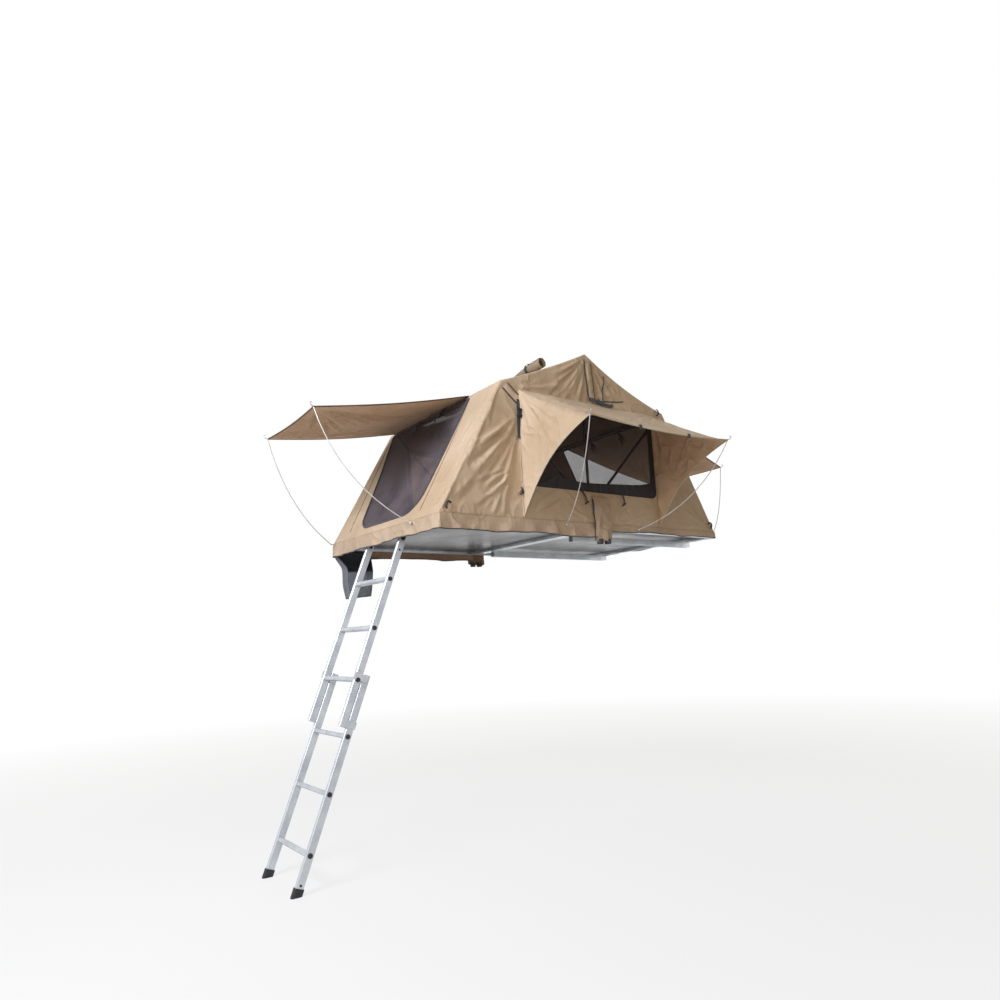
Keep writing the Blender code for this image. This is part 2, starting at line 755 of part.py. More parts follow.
def make_end_wall(half):
    """The slanted end wall, with the door cut out."""
    length = SHOULDER_HEIGHT / sin(END_SLOPE)
    half_width = INNER_HALF_WIDTH
    low, high = SEAM_INSET + CLEARANCE, length - SEAM_INSET
    outline = [(-half_width, low), (half_width, low), (half_width, high), (-half_width, high)]
    return prism(
        f"end_wall_{half}", outline, end_wall_map(half), -FABRIC, 0, "canvas",
        holes=[door_outline(half)],
    )


def make_door_mesh(half):
    """The insect mesh that fills a door."""
    low = -(FABRIC + MESH_THICKNESS) / 2
    return prism(
        f"door_mesh_{half}", door_outline(half, CLEARANCE), end_wall_map(half), low,
        low + MESH_THICKNESS, "mesh",
    )


def vent_outline(shrink=0.0):
    """The vent in the roof slope that folds out."""
    b, near = VENT_WIDTH / 2 - shrink, VENT_FROM_RIDGE + shrink
    far = VENT_FROM_RIDGE + VENT_LENGTH - shrink
    return round_outline([(-b, near), (b, near), (b, far), (-b, far)], [VENT_CORNER] * 4, 4)


def make_roof(half):
    """A roof slope between two bows. The one that folds out has the vent."""
    length = hypot(SHOULDER_REACH, RIDGE_HEIGHT - SHOULDER_HEIGHT)
    low, high = SEAM_INSET, length - SEAM_INSET
    half_width = INNER_HALF_WIDTH
    outline = [(-half_width, low), (half_width, low), (half_width, high), (-half_width, high)]
    holes = [vent_outline()] if half == "out" else []
    return prism(f"roof_{half}", outline, roof_map(half), -FABRIC, 0, "canvas", holes=holes)


def make_vent_mesh():
    """The mesh in the roof vent."""
    low = -(FABRIC + MESH_THICKNESS) / 2
    outline = vent_outline(CLEARANCE)
    return prism("vent_mesh", outline, roof_map("out"), low, low + MESH_THICKNESS, "mesh")


def make_vent_roll():
    """The vent's cover, rolled up on the slope."""
    seat = roof_map("out")(0, ROLL_FROM_RIDGE, ROLL_RADIUS + CLEARANCE)
    half = Vector((0, ROLL_LENGTH / 2, 0))
    roll = cylinder("vent_roll", seat - half, seat + half, ROLL_RADIUS, "canvas", sides=20)
    bores = []
    for end in (seat - half, seat + half):
        inwards = (seat - end).normalized() * 0.12
        bores.append(cylinder("bore", end - inwards, end + inwards, ROLL_BORE, "canvas", sides=14))
    return combine(roll, bores, "DIFFERENCE")


def side_awning_points(side):
    """The hood over a window: a sagging top between two wings, as rows from wall to tips."""
    facing = SIDES[side]
    wall = facing * (HALF_WIDTH + CLEARANCE)
    rows = []
    for i in range(9):
        s = i / 8
        row = []
        creases = []
        for end in (-1, 1):
            root = place(end * SIDE_AWNING_HALF, wall, SIDE_AWNING_ROOT)
            tip = place(end * SIDE_AWNING_HALF, wall + facing * SIDE_AWNING_REACH, SIDE_AWNING_TIP)
            foot = place(end * SIDE_AWNING_HALF, wall, WING_FOOT)
            crease = root.lerp(tip, s)
            on_wall = root.lerp(foot, s)
            creases.append(crease)
            wing = []
            for k in range(6):
                t = k / 6
                point = on_wall.lerp(crease, t)
                pull = (root - point) * WING_HOLLOW * 4 * t * (1 - t) * s * 3
                wing.append(point + pull)
            if end < 0:
                row += wing
            else:
                right_wing = wing
        for k in range(13):
            t = k / 12
            sag = AWNING_SAG * 4 * t * (1 - t) * sin(pi * min(s, 1) * 0.62)
            row.append(creases[0].lerp(creases[1], t) - Vector((0, 0, sag)))
        row += reversed(right_wing)
        rows.append(row)
    return rows


def make_side_awning(side):
    """The awning of a window."""
    return cloth(f"awning_{side}", side_awning_points(side), "canvas", offset=SIDES[side])


def end_awning_tips(half):
    """The two free corners of an end awning."""
    sign = HALVES[half]
    return [
        place(sign * END_TIP_REACH, sign * END_TIP_NEAR, END_TIP_HEIGHT),
        place(sign * END_TIP_REACH, -sign * END_TIP_FAR, END_TIP_HEIGHT),
    ]


def make_end_awning(half):
    """The awning of a door, from the shoulder to its two tips."""
    sign = HALVES[half]
    lift = FABRIC / 2
    near = place(sign * (SHOULDER_REACH + lift), sign * END_AWNING_NEAR, SHOULDER_HEIGHT - lift / 2)
    far = place(sign * (SHOULDER_REACH + lift), -sign * END_AWNING_FAR, SHOULDER_HEIGHT - lift / 2)
    tips = end_awning_tips(half)
    rows = []
    for i in range(9):
        s = i / 8
        left, right = near.lerp(tips[0], s), far.lerp(tips[1], s)
        row = []
        for k in range(11):
            t = k / 10
            sag = END_AWNING_SAG * (4 * t * (1 - t) * sin(pi * s * 0.62) + 1.2 * sin(pi * s) * 0.6)
            row.append(left.lerp(right, t) - Vector((0, 0, sag)))
        rows.append(row)
    return cloth(f"awning_{half}", rows, "canvas")


def rod_tips(half):
    """The awning corners that the four rods of one half hold up, in the order of rod_feet."""
    sign = HALVES[half]
    tips = []
    for facing in SIDES.values():
        wall = facing * (HALF_WIDTH + CLEARANCE + SIDE_AWNING_REACH)
        tips.append(place(sign * SIDE_AWNING_HALF, wall, SIDE_AWNING_TIP))
    return tips + end_awning_tips(half)


def make_rod(half, label, centre, tip):
    """A spring rod, bowed outwards and down between its ball stud and an awning corner."""
    run = tip - centre
    low = Vector((0, 0, -1))
    bulge = (low - run * low.dot(run) / run.length_squared).normalized()
    end = tip - Vector((0, 0, ROD_RADIUS + 2 * CLEARANCE))
    start = centre + (run + bulge * 4 * ROD_BOW).normalized() * (ROD_BALL_RADIUS + CLEARANCE)
    points = [
        start.lerp(end, k / 11) + bulge * ROD_BOW * 4 * (k / 11) * (1 - k / 11) for k in range(12)
    ]
    return tube(f"rod_{half}_{label}", points, ROD_RADIUS, "rod", resolution=1)


def make_sleeve(side):
    """The loose canvas cover that hangs over the fold at one side."""
    facing = SIDES[side]
    rows = []
    for i in range(9):
        s = i / 8
        w = SLEEVE_TOP - (SLEEVE_TOP + SLEEVE_DROP) * s
        row = []
        for k in range(9):
            t = k / 8
            belly = SLEEVE_BELLY * min(1, s * 2.2) * (0.45 + 0.55 * sin(pi * t))
            y = facing * (HALF_WIDTH + CLEARANCE * 2 + belly + 0.004 * s * sin(4 * pi * t))
            row.append(place(SLEEVE_START + SLEEVE_LENGTH * t, y, w))
        rows.append(row)
    return cloth(f"hinge_sleeve_{side}", rows, "canvas", offset=SIDES[side])


def ladder_pivot():
    """The bolt that the ladder swings on, under the end of the panel that folds out."""
    drop = FRAME_HEIGHT + CLEARANCE + BRACKET_PLATE + LADDER_TOP + LADDER_RAIL_DEPTH / 2 * 0.7
    return place(-PANEL_LENGTH + LADDER_PIVOT_INSET, 0, -drop)


def ladder_map(a, b, depth):
    """Maps (distance down the ladder, distance to its front, y) to the world."""
    down = Vector((-sin(LADDER_LEAN), 0, -cos(LADDER_LEAN)))
    front = Vector((-cos(LADDER_LEAN), 0, sin(LADDER_LEAN)))
    return ladder_pivot() + down * a + front * b + Vector((0, depth, 0))


def chamfered(half_a, half_b, cut):
    """A rectangle with its corners cut off."""
    return [
        (half_a, half_b - cut), (half_a - cut, half_b), (-half_a + cut, half_b),
        (-half_a, half_b - cut), (-half_a, -half_b + cut), (-half_a + cut, -half_b),
        (half_a - cut, -half_b), (half_a, -half_b + cut),
    ]


def ladder_rail(name, centre_y, start, end, front):
    """A box rail of the ladder, with softened edges, along the ladder."""
    section = chamfered(LADDER_RAIL_DEPTH / 2, LADDER_RAIL_WIDTH / 2, LADDER_CHAMFER)

    def lengthwise(a, b, depth):
        return ladder_map(depth, front + a, centre_y + b)

    return prism(name, section, lengthwise, start, end, "aluminium")


def rung(at, front):
    """A flat rung between the rails."""
    section = chamfered(RUNG_HEIGHT / 2, RUNG_DEPTH / 2, LADDER_CHAMFER)
    reach = LADDER_GAUGE / 2

    def crosswise(a, b, depth):
        return ladder_map(at + a, front + b, depth)

    return prism("rung", section, crosswise, -reach, reach, "aluminium")


def guide(along, root, lip):
    """Two hooks that wrap the other section's rails.

    root is where a hook grows from its own rail, front to back, and lip is the span of the
    turned-in edge that holds the other rail.
    """
    tools = []
    for facing in SIDES.values():
        side = facing * (LADDER_GAUGE / 2 + LADDER_RAIL_WIDTH / 2)
        inner = side - facing * GUIDE_PLATE / 2
        face = side + facing * GUIDE_RUNNING_GAP
        outer = face + facing * GUIDE_PLATE
        back = side - facing * GUIDE_LIP
        section = [
            (root[0], inner), (root[1], inner), (root[1], face), (lip[0], face),
            (lip[0], back), (lip[1], back), (lip[1], outer), (root[0], outer),
        ]

        def lengthwise(a, b, depth):
            return ladder_map(depth, a, b)

        tools.append(prism("hook", section, lengthwise, *along, "aluminium"))
    return tools


def make_ladder_upper():
    """The section that swings on the brackets: two rails, three rungs and its guide hooks."""
    rails = [
        ladder_rail("ladder_upper", facing * LADDER_GAUGE / 2, -LADDER_TOP, LADDER_UPPER, 0)
        for facing in SIDES.values()
    ]
    count = int((LADDER_UPPER - FIRST_RUNG) / RUNG_PITCH) + 1
    rungs = [rung(FIRST_RUNG + RUNG_PITCH * k, 0) for k in range(count)]
    ladder = combine(rails[0], [*rungs, rails[1]], "UNION")
    ladder.name = "ladder_upper"
    depth = LADDER_RAIL_DEPTH / 2
    behind = -(depth + 3 * GUIDE_RUNNING_GAP + LADDER_RAIL_DEPTH)
    along = (LADDER_UPPER - GUIDE_LENGTH - GUIDE_PLATE, LADDER_UPPER - GUIDE_PLATE)
    hooks = guide(along, (depth * 0.5, -depth * 0.5), (behind, behind - GUIDE_PLATE))
    combine(ladder, hooks, "UNION")
    reach = LADDER_GAUGE
    bore = cylinder(
        "bore", ladder_pivot() - Vector((0, reach, 0)), ladder_pivot() + Vector((0, reach, 0)),
        PIVOT_BOLT_RADIUS + CLEARANCE, "steel", sides=20,
    )
    return combine(ladder, [bore], "DIFFERENCE")


def lower_start():
    """How far down the ladder its lower section begins."""
    return LADDER_UPPER - LADDER_OVERLAP


def make_ladder_lower():
    """The section that slides behind the upper one."""
    front = -(LADDER_RAIL_DEPTH + 2 * GUIDE_RUNNING_GAP)
    start = lower_start()
    rails = [
        ladder_rail("ladder_lower", facing * LADDER_GAUGE / 2, start, start + LADDER_LOWER, front)
        for facing in SIDES.values()
    ]
    first = FIRST_RUNG + RUNG_PITCH * 3
    count = int((start + LADDER_LOWER - FOOT_LENGTH - first) / RUNG_PITCH) + 1
    rungs = [rung(first + RUNG_PITCH * k, front) for k in range(count)]
    ladder = combine(rails[0], [*rungs, rails[1]], "UNION")
    ladder.name = "ladder_lower"
    depth = LADDER_RAIL_DEPTH / 2
    ahead = depth + GUIDE_RUNNING_GAP
    along = (start + GUIDE_PLATE, start + GUIDE_PLATE + GUIDE_LENGTH)
    hooks = guide(along, (front - depth * 0.5, front + depth * 0.5), (ahead, ahead + GUIDE_PLATE))
    return combine(ladder, hooks, "UNION")


def make_ladder_foot(side):
    """A rubber boot over the end of a rail."""
    facing = SIDES[side]
    front = -(LADDER_RAIL_DEPTH + 2 * GUIDE_RUNNING_GAP)
    end = lower_start() + LADDER_LOWER
    grow = FOOT_WALL + CLEARANCE
    section = chamfered(
        LADDER_RAIL_DEPTH / 2 + grow, LADDER_RAIL_WIDTH / 2 + grow, LADDER_CHAMFER + grow / 2
    )
    centre = facing * LADDER_GAUGE / 2

    def lengthwise(a, b, depth):
        return ladder_map(depth, front + a, centre + b)

    boot = prism(
        f"ladder_foot_{side}", section, lengthwise, end - FOOT_LENGTH, end + FOOT_WALL * 2, "black"
    )
    hollow = prism(
        "hollow",
        chamfered(LADDER_RAIL_DEPTH / 2 + CLEARANCE, LADDER_RAIL_WIDTH / 2 + CLEARANCE, LADDER_CHAMFER),
        lengthwise, end - FOOT_LENGTH * 2, end + CLEARANCE, "black",
    )
    return combine(boot, [hollow], "DIFFERENCE")


def make_ladder_bracket(side):
    """A clevis under the frame with the bolt through one rail of the ladder."""
    facing = SIDES[side]
    bolt = ladder_pivot()
    top = SEAM_Z - FRAME_HEIGHT - CLEARANCE
    centre = facing * LADDER_GAUGE / 2
    inner = LADDER_RAIL_WIDTH / 2 + CLEARANCE
    half = BRACKET_LENGTH / 2
    bracket = box(
        f"ladder_bracket_{side}",
        (bolt.x - half, centre - inner - BRACKET_PLATE, top - BRACKET_PLATE),
        (bolt.x + half, centre + inner + BRACKET_PLATE, top),
        "black",
    )
    eye = PIVOT_HEAD_RADIUS + 0.004
    cheek_top = top - BRACKET_PLATE / 2 - SEAM_Z
    drop = bolt.z - SEAM_Z
    middle = bolt.x - FOLD_X
    arc = [(middle + eye * cos(t), drop + eye * sin(t)) for t in (radians(-180 + 15 * k) for k in range(13))]
    outline = [(middle + half, cheek_top), (middle - half, cheek_top)] + arc
    tools = []
    for away in (-1, 1):
        ys = sorted((centre + away * inner, centre + away * (inner + BRACKET_PLATE)))
        tools.append(prism("cheek", outline, across, ys[0], ys[1], "black"))
    reach = inner + BRACKET_PLATE
    shaft = Vector((bolt.x, centre, bolt.z))
    out = Vector((0, 1, 0))
    tools.append(cylinder("bolt", shaft - out * (reach + 0.001), shaft + out * (reach + 0.001), PIVOT_BOLT_RADIUS, "black", 20))
    for away in (-1, 1):
        first = shaft + out * away * (reach - 0.001)
        last = shaft + out * away * (reach + PIVOT_HEAD_HEIGHT)
        tools.append(cylinder("head", first, last, PIVOT_HEAD_RADIUS, "black", 6))
    return combine(bracket, tools, "UNION")


def make_shoe_bag():
    """An open bag: a tall back, sloping side gussets and a low front pocket."""
    top = -FRAME_HEIGHT - CLEARANCE
    back = HALF_WIDTH - FRAME_WALL
    u0 = -PANEL_LENGTH + BAG_END_GAP
    u1 = u0 + BAG_WIDTH
    gusset = [
        (back, top), (back, top - BAG_HEIGHT), (back - BAG_DEPTH, top - BAG_HEIGHT + 0.02),
        (back - BAG_DEPTH, top - BAG_HEIGHT + BAG_POCKET_HEIGHT), (back - 0.03, top),
    ]
    hollow = [
        (back - BAG_WALL, top + 0.02), (back - BAG_WALL, top - BAG_HEIGHT + BAG_WALL * 1.5),
        (back - BAG_DEPTH + BAG_WALL, top - BAG_HEIGHT + 0.02 + BAG_WALL),
        (back - BAG_DEPTH + BAG_WALL, top - BAG_HEIGHT + BAG_POCKET_HEIGHT + 0.02),
        (back - 0.07, top + 0.02),
    ]

    def crosswise(a, b, depth):
        return place(depth, a, b)

    bag = prism("shoe_bag", gusset, crosswise, u0, u1, "bag")
    inside = prism("hollow", hollow, crosswise, u0 + BAG_WALL, u1 - BAG_WALL, "bag")
    mouth = prism(
        "mouth",
        [
            (back - BAG_WALL, top - BAG_HEIGHT + BAG_POCKET_HEIGHT), (back - BAG_WALL, top - 0.03),
            (back - BAG_DEPTH * 2, top - 0.03), (back - BAG_DEPTH * 2, top - BAG_HEIGHT + BAG_POCKET_HEIGHT),
        ],
        crosswise, u0 + BAG_WALL, u1 - BAG_WALL, "bag",
    )
    return combine(bag, [inside, mouth], "DIFFERENCE")


def clear_scene():
    """Removes what is in the scene."""
    for obj in list(bpy.data.objects):
        bpy.data.objects.remove(obj)


def main():
    """Builds the tent."""
    clear_scene()
    shoulder = Vector((SHOULDER_REACH, 0, SHOULDER_HEIGHT - HINGE_RISE))
    shoulder_angle = atan2(shoulder.z, shoulder.x)
    skin = FABRIC + BOW_TUBE_RADIUS + 2 * CLEARANCE
    shoulder_reach = shoulder.length - skin / cos((END_SLOPE - ROOF_SLOPE) / 2)
    ridge_reach = RIDGE_HEIGHT - HINGE_RISE - skin / cos(ROOF_SLOPE)

    for side in SIDES:
        make_mount_rail(side)
        make_hinge_bracket("fixed", side)
        make_hinge_pin(side)
        make_side_wall(side)
        make_window_mesh(side)
        make_sleeve(side)
    make_frame("fixed")
    make_floor("fixed")
    make_mattress("fixed")
    make_skirt("fixed")
    make_end_wall("fixed")
    make_door_mesh("fixed")

    chain = pivot("pivot_bow_fixed", HINGE)
    hang(make_bow("bow_fixed", shoulder_angle, shoulder_reach, BOW_PLANES[0]), chain)
    hang(make_roof("fixed"), chain)
    awning_fixed = pivot(
        "pivot_awning_fixed", place(SHOULDER_REACH, 0, SHOULDER_HEIGHT), chain
    )
    hang(make_end_awning("fixed"), awning_fixed)

    chain = pivot("pivot_bow_centre", HINGE, chain)
    hang(make_bow("bow_centre", pi / 2, ridge_reach, BOW_PLANES[1]), chain)
    hang(make_vent_mesh(), chain)
    hang(make_vent_roll(), chain)
    for side, facing in SIDES.items():
        root = place(0, facing * HALF_WIDTH, SIDE_AWNING_ROOT)
        hang(make_side_awning(side), pivot(f"pivot_awning_{side}", root, chain))

    chain = pivot("pivot_bow_out", HINGE, chain)
    hang(make_bow("bow_out", pi - shoulder_angle, shoulder_reach, BOW_PLANES[2]), chain)
    hang(make_roof("out"), chain)
    awning_out = pivot(
        "pivot_awning_out", place(-SHOULDER_REACH, 0, SHOULDER_HEIGHT), chain
    )
    hang(make_end_awning("out"), awning_out)

    chain = pivot("pivot_base_out", HINGE, chain)
    for piece in (
        make_frame("out"), make_floor("out"), make_mattress("out"), make_skirt("out"),
        make_end_wall("out"), make_door_mesh("out"), make_shoe_bag(),
    ):
        hang(piece, chain)
    for side in SIDES:
        hang(make_hinge_bracket("out", side), chain)
        hang(make_ladder_bracket(side), chain)

    for half in HALVES:
        for (label, centre, out), tip in zip(rod_feet(half), rod_tips(half)):
            parent = chain if half == "out" else None
            hang(make_rod(half, label, centre, tip), pivot(f"pivot_rod_{half}_{label}", centre, parent))

    swing = pivot("pivot_ladder", ladder_pivot(), chain)
    hang(make_ladder_upper(), swing)
    slide = pivot("pivot_ladder_slide", ladder_map(lower_start(), 0, 0), swing)
    hang(make_ladder_lower(), slide)
    for side in SIDES:
        hang(make_ladder_foot(side), slide)


main()
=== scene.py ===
"""Looks of a soft-shell roof top tent, opened out, propped up and with its ladder down.

Lengths are metres and +Z is up. Places on the tent are given by u, the distance along it from
the fold, y, the distance across it, and w, the height above the seam of wall and floor. The
ladder hangs at -u, and the near side is at -y.
"""

import logging
from dataclasses import dataclass
from enum import Enum
from math import atan2, copysign, cos, degrees, exp, hypot, pi, radians, sin, sqrt, tan
from typing import Any, Callable, Iterable, Sequence

import bmesh
import bpy
import numpy as np
from mathutils import Matrix, Vector


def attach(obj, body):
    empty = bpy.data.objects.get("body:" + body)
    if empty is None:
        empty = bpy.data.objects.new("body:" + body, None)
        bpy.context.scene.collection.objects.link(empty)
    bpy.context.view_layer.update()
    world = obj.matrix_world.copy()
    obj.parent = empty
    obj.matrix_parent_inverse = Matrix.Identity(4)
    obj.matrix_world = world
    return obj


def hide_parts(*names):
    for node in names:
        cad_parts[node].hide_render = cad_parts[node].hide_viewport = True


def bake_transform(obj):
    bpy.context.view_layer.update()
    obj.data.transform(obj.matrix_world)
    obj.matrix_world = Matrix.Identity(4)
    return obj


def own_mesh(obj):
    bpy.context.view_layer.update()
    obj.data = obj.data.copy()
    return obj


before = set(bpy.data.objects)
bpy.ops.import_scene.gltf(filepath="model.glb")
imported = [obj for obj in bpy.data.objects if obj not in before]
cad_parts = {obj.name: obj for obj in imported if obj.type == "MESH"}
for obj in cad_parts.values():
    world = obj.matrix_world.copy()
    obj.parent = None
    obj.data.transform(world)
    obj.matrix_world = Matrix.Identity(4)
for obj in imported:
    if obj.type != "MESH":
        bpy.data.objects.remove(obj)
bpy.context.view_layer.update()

log = logging.getLogger("roof_top_tent")

Piece = bpy.types.Object
Material = bpy.types.Material
Socket = bpy.types.NodeSocket
Tree = bpy.types.NodeTree
Shape = bmesh.types.BMesh
Point = Sequence[float]
Grid = np.ndarray
Mapper = Callable[[Grid, Grid], Grid]

FOLD_X = -0.59
SEAM_Z = 0.0853
ORIGIN = np.array([FOLD_X, 0, SEAM_Z])
PANEL = 1.18
HALF_WIDTH = 0.71
HINGE_W = 0.12
SHOULDER = (0.718, 0.838)
RIDGE_W = 1.147
CANVAS_GAUGE = 0.0016
NET_GAUGE = 0.0006
SKIN = 0.0006


class Half(Enum):
    """The two halves of the clamshell, with the sign of their u."""

    FIXED = 1
    OUT = -1

    @property
    def word(self) -> str:
        """The half's name in the CAD's nodes."""
        return self.name.lower()


class Side(Enum):
    """The two long sides, with the sign of their y."""

    NEAR = -1
    FAR = 1

    @property
    def word(self) -> str:
        """The side's name in the CAD's nodes."""
        return self.name.lower()


def place(u: float, y: float, w: float) -> Vector:
    """The point at u, y and w in the frame's own coordinates."""
    return Vector((FOLD_X + u, y, SEAM_Z + w))


def places(u: Grid, y: Grid, w: Grid) -> Grid:
    """Many points at once, with their coordinates on the last axis."""
    return np.stack(np.broadcast_arrays(FOLD_X + u, y, SEAM_Z + w), axis=-1)


def linear(code: str) -> tuple[float, float, float, float]:
    """Turns an sRGB hex colour into linear values.

    Args:
        code: six hex digits.

    Returns:
        Red, green, blue and an alpha of one.
    """
    channels = [int(code[i : i + 2], 16) / 255 for i in (0, 2, 4)]
    turned = [c / 12.92 if c <= 0.04045 else ((c + 0.055) / 1.055) ** 2.4 for c in channels]
    return (*turned, 1.0)


# Finishes


def add(tree: Tree, kind: str, settings: dict | None = None, **inputs: Any) -> bpy.types.Node:
    """Adds a node with its settings and links.

    Args:
        tree: the material's node tree.
        kind: the node's type, without its first words.
        settings: attributes of the node itself.
        inputs: values or sockets by input name, with spaces written as underscores, or by
            number as at_0 and so on.

    Returns:
        The new node.
    """
    made = tree.nodes.new(f"ShaderNode{kind}")
    for key, value in (settings or {}).items():
        setattr(made, key, value)
    for key, value in inputs.items():
        socket = made.inputs[int(key[3:]) if key.startswith("at_") else key.replace("_", " ")]
        if isinstance(value, Socket):
            tree.links.new(value, socket)
        else:
            socket.default_value = value
    return made


class Recipe:
    """A material while it is put together: its nodes, its shader and its coordinates."""

    def __init__(self, name: str, **values: Any) -> None:
        """Starts a material.

        Args:
            name: what the material is.
            values: the shader's plain values by input name, with underscores for spaces.
        """
        self.material = bpy.data.materials.new(name)
        self.material.use_nodes = True
        self.tree = self.material.node_tree
        self.shader = self.tree.nodes["Principled BSDF"]
        self.where = add(self.tree, "TexCoord").outputs["Object"]
        for key, value in values.items():
            self.shader.inputs[key.replace("_", " ")].default_value = value

    def noise(self, size: float, detail: float = 3.0, stretch: Point = (1, 1, 1)) -> Socket:
        """Noise with patches of a real size, in metres, from the piece's own coordinates."""
        scaled = add(self.tree, "Mapping", Vector=self.where, Scale=stretch).outputs[0]
        return add(self.tree, "TexNoise", Vector=scaled, Scale=1 / size, Detail=detail).outputs[0]

    def wave(self, pitch: float, way: str, **values: Any) -> Socket:
        """Ribs at a real pitch, in metres, across one direction."""
        return add(
            self.tree, "TexWave", {"bands_direction": way}, Vector=self.where,
            Scale=pi / 10 / pitch, **values,
        ).outputs[1]

    def spread(
        self, source: Socket, low: float, high: float, least: float = 0.0, most: float = 1.0
    ) -> Socket:
        """Stretches the range low to high of a socket over least to most."""
        return add(
            self.tree, "MapRange", {"clamp": True}, Value=source, From_Min=low, From_Max=high,
            To_Min=least, To_Max=most,
        ).outputs[0]

    def plus(self, source: Socket, share: float, other: Socket | float) -> Socket:
        """A share of one socket, added to another socket or value."""
        return add(
            self.tree, "Math", {"operation": "MULTIPLY_ADD"}, at_0=source, at_1=share, at_2=other
        ).outputs[0]

    def colour(self, factor: Socket, first: str, second: str) -> None:
        """Colours the surface between two sRGB colours by a socket."""
        mix = add(
            self.tree, "Mix", {"data_type": "RGBA"}, at_0=factor, at_6=linear(first),
            at_7=linear(second),
        )
        self.set("Base Color", mix.outputs[2])

    def set(self, name: str, socket: Socket) -> None:
        """Links a socket to one of the shader's inputs."""
        self.tree.links.new(socket, self.shader.inputs[name])

    def bump(self, height: Socket, depth: float, strength: float = 1.0) -> None:
        """Raises the surface by a height socket, over a depth in metres."""
        raised = add(self.tree, "Bump", Height=height, Distance=depth, Strength=strength)
        self.set("Normal", raised.outputs[0])


@dataclass(frozen=True)
class Canvas:
    """Proofed polycotton canvas: woven, dyed and coated, so matt with a faint sheen on folds.

    The weave is drawn at 2.2 mm, coarser than its 0.5 mm thread, so that it can show. Crinkles
    from packing run over it, about 150 mm apart. Rumple and crinkle are in units of relief.
    """

    name: str
    light: str = "cbb497"
    dark: str = "b19777"
    thread: float = 0.0022
    sheen: float = 0.12
    rough: float = 0.78
    crinkle: float = 26.0
    crinkle_gap: float = 0.15
    rumple: float = 9.0
    relief: float = 0.00022

    def build(self) -> Material:
        """Dyes the canvas in clouds and slubs, then raises weave, rumples and crinkles."""
        mix = Recipe(
            self.name, Roughness=self.rough, Sheen_Weight=self.sheen, Sheen_Roughness=0.45,
            IOR=1.45, Specular_IOR_Level=0.32,
        )
        clouds = mix.spread(mix.noise(0.42, 4.0), 0.3, 0.72)
        tone = mix.plus(mix.noise(0.011, 2.0, (1, 1, 0.25)), 0.35, clouds)
        mix.colour(mix.spread(tone, 0.1, 1.25), self.light, self.dark)
        warp, weft = (mix.wave(self.thread, way, Distortion=0.6, Detail=1.0) for way in ("X", "Z"))
        height = mix.plus(mix.noise(0.035, 3.0), self.rumple, mix.plus(warp, 1.0, weft))
        crinkles = add(
            mix.tree, "TexNoise", {"noise_type": "RIDGED_MULTIFRACTAL"}, Vector=mix.where,
            Scale=1 / self.crinkle_gap, Detail=2.0, Roughness=0.45, Offset=1.0, Distortion=0.9,
        )
        mix.bump(mix.plus(crinkles.outputs[0], self.crinkle, height), self.relief)
        return mix.material


@dataclass(frozen=True)
class InsectMesh:
    """Knitted polyester mesh: a fine open net, seen as a dark film that lets half the light by.

    Its holes are drawn at 3 mm where the real ones are 1 mm. A sheet has two surfaces, so each
    covers as much as lets the open share through both.
    """

    name: str
    colour: str = "574c50"
    open_share: float = 0.58
    hole: float = 0.003

    def build(self) -> Material:
        """Makes the net."""
        mix = Recipe(self.name, Roughness=0.8, Sheen_Weight=0.2)
        mix.colour(mix.spread(mix.noise(0.2, 2.0), 0.3, 0.7), self.colour, "4b4348")
        knit = add(
            mix.tree, "TexVoronoi", {"feature": "F1"}, Vector=mix.where, Scale=1 / self.hole,
            Randomness=0.2,
        )
        thread = mix.spread(knit.outputs[0], 0.0, 0.9, 1.0, 0.0)
        mix.set("Alpha", mix.plus(thread, 0.16, 0.93 - sqrt(self.open_share)))
        return mix.material


@dataclass(frozen=True)
class Metal:
    """Bare or anodised metal: drawn or extruded, with lines 1.5 mm apart and rubbed patches."""

    name: str
    light: str = "dfe2e4"
    dark: str = "c3c8cc"
    rough: float = 0.34
    metallic: float = 0.85

    def build(self) -> Material:
        """Makes the metal, shinier where it is rubbed."""
        mix = Recipe(self.name, Metallic=self.metallic)
        patches = mix.noise(0.09, 3.0)
        mix.colour(mix.spread(patches, 0.35, 0.7), self.light, self.dark)
        mix.set("Roughness", mix.spread(patches, 0.3, 0.7, self.rough * 0.8, self.rough * 1.25))
        mix.bump(mix.noise(0.0015, 2.0, (1, 1, 0.05)), 0.00004)
        return mix.material


@dataclass(frozen=True)
class Laminate:
    """Aluminium-faced sandwich board: a rolled sheet with a slight wave, so its gloss wanders. Its
    greys are painted dark, as painted shade under the panel.
    """

    name: str

    def build(self) -> Material:
        """Makes the board's skin."""
        mix = Recipe(self.name, Metallic=0.5, IOR=1.45)
        wave = mix.noise(0.34, 2.0)
        # Painted shade: both greys are darker than the board's own skin.
        mix.colour(mix.spread(wave, 0.3, 0.7), "4a494b", "2c2b2d")
        mix.set("Roughness", mix.spread(wave, 0.3, 0.7, 0.22, 0.34))
        mix.bump(wave, 0.004, 0.5)
        return mix.material


@dataclass(frozen=True)
class Plastic:
    """Moulded nylon or rubber: dark, with a fine grain and a little shine."""

    name: str
    colour: str = "1c1b1d"
    worn: str = "2e2d30"
    rough: float = 0.5
    grit: float = 0.0012

    def build(self) -> Material:
        """Makes the plastic, paler where it is worn."""
        mix = Recipe(self.name, IOR=1.5)
        grain = mix.noise(self.grit, 2.0)
        mix.colour(mix.spread(mix.noise(0.05, 3.0), 0.4, 0.75), self.colour, self.worn)
        mix.set("Roughness", mix.spread(grain, 0.3, 0.7, self.rough * 0.9, self.rough * 1.15))
        mix.bump(grain, 0.0001)
        return mix.material


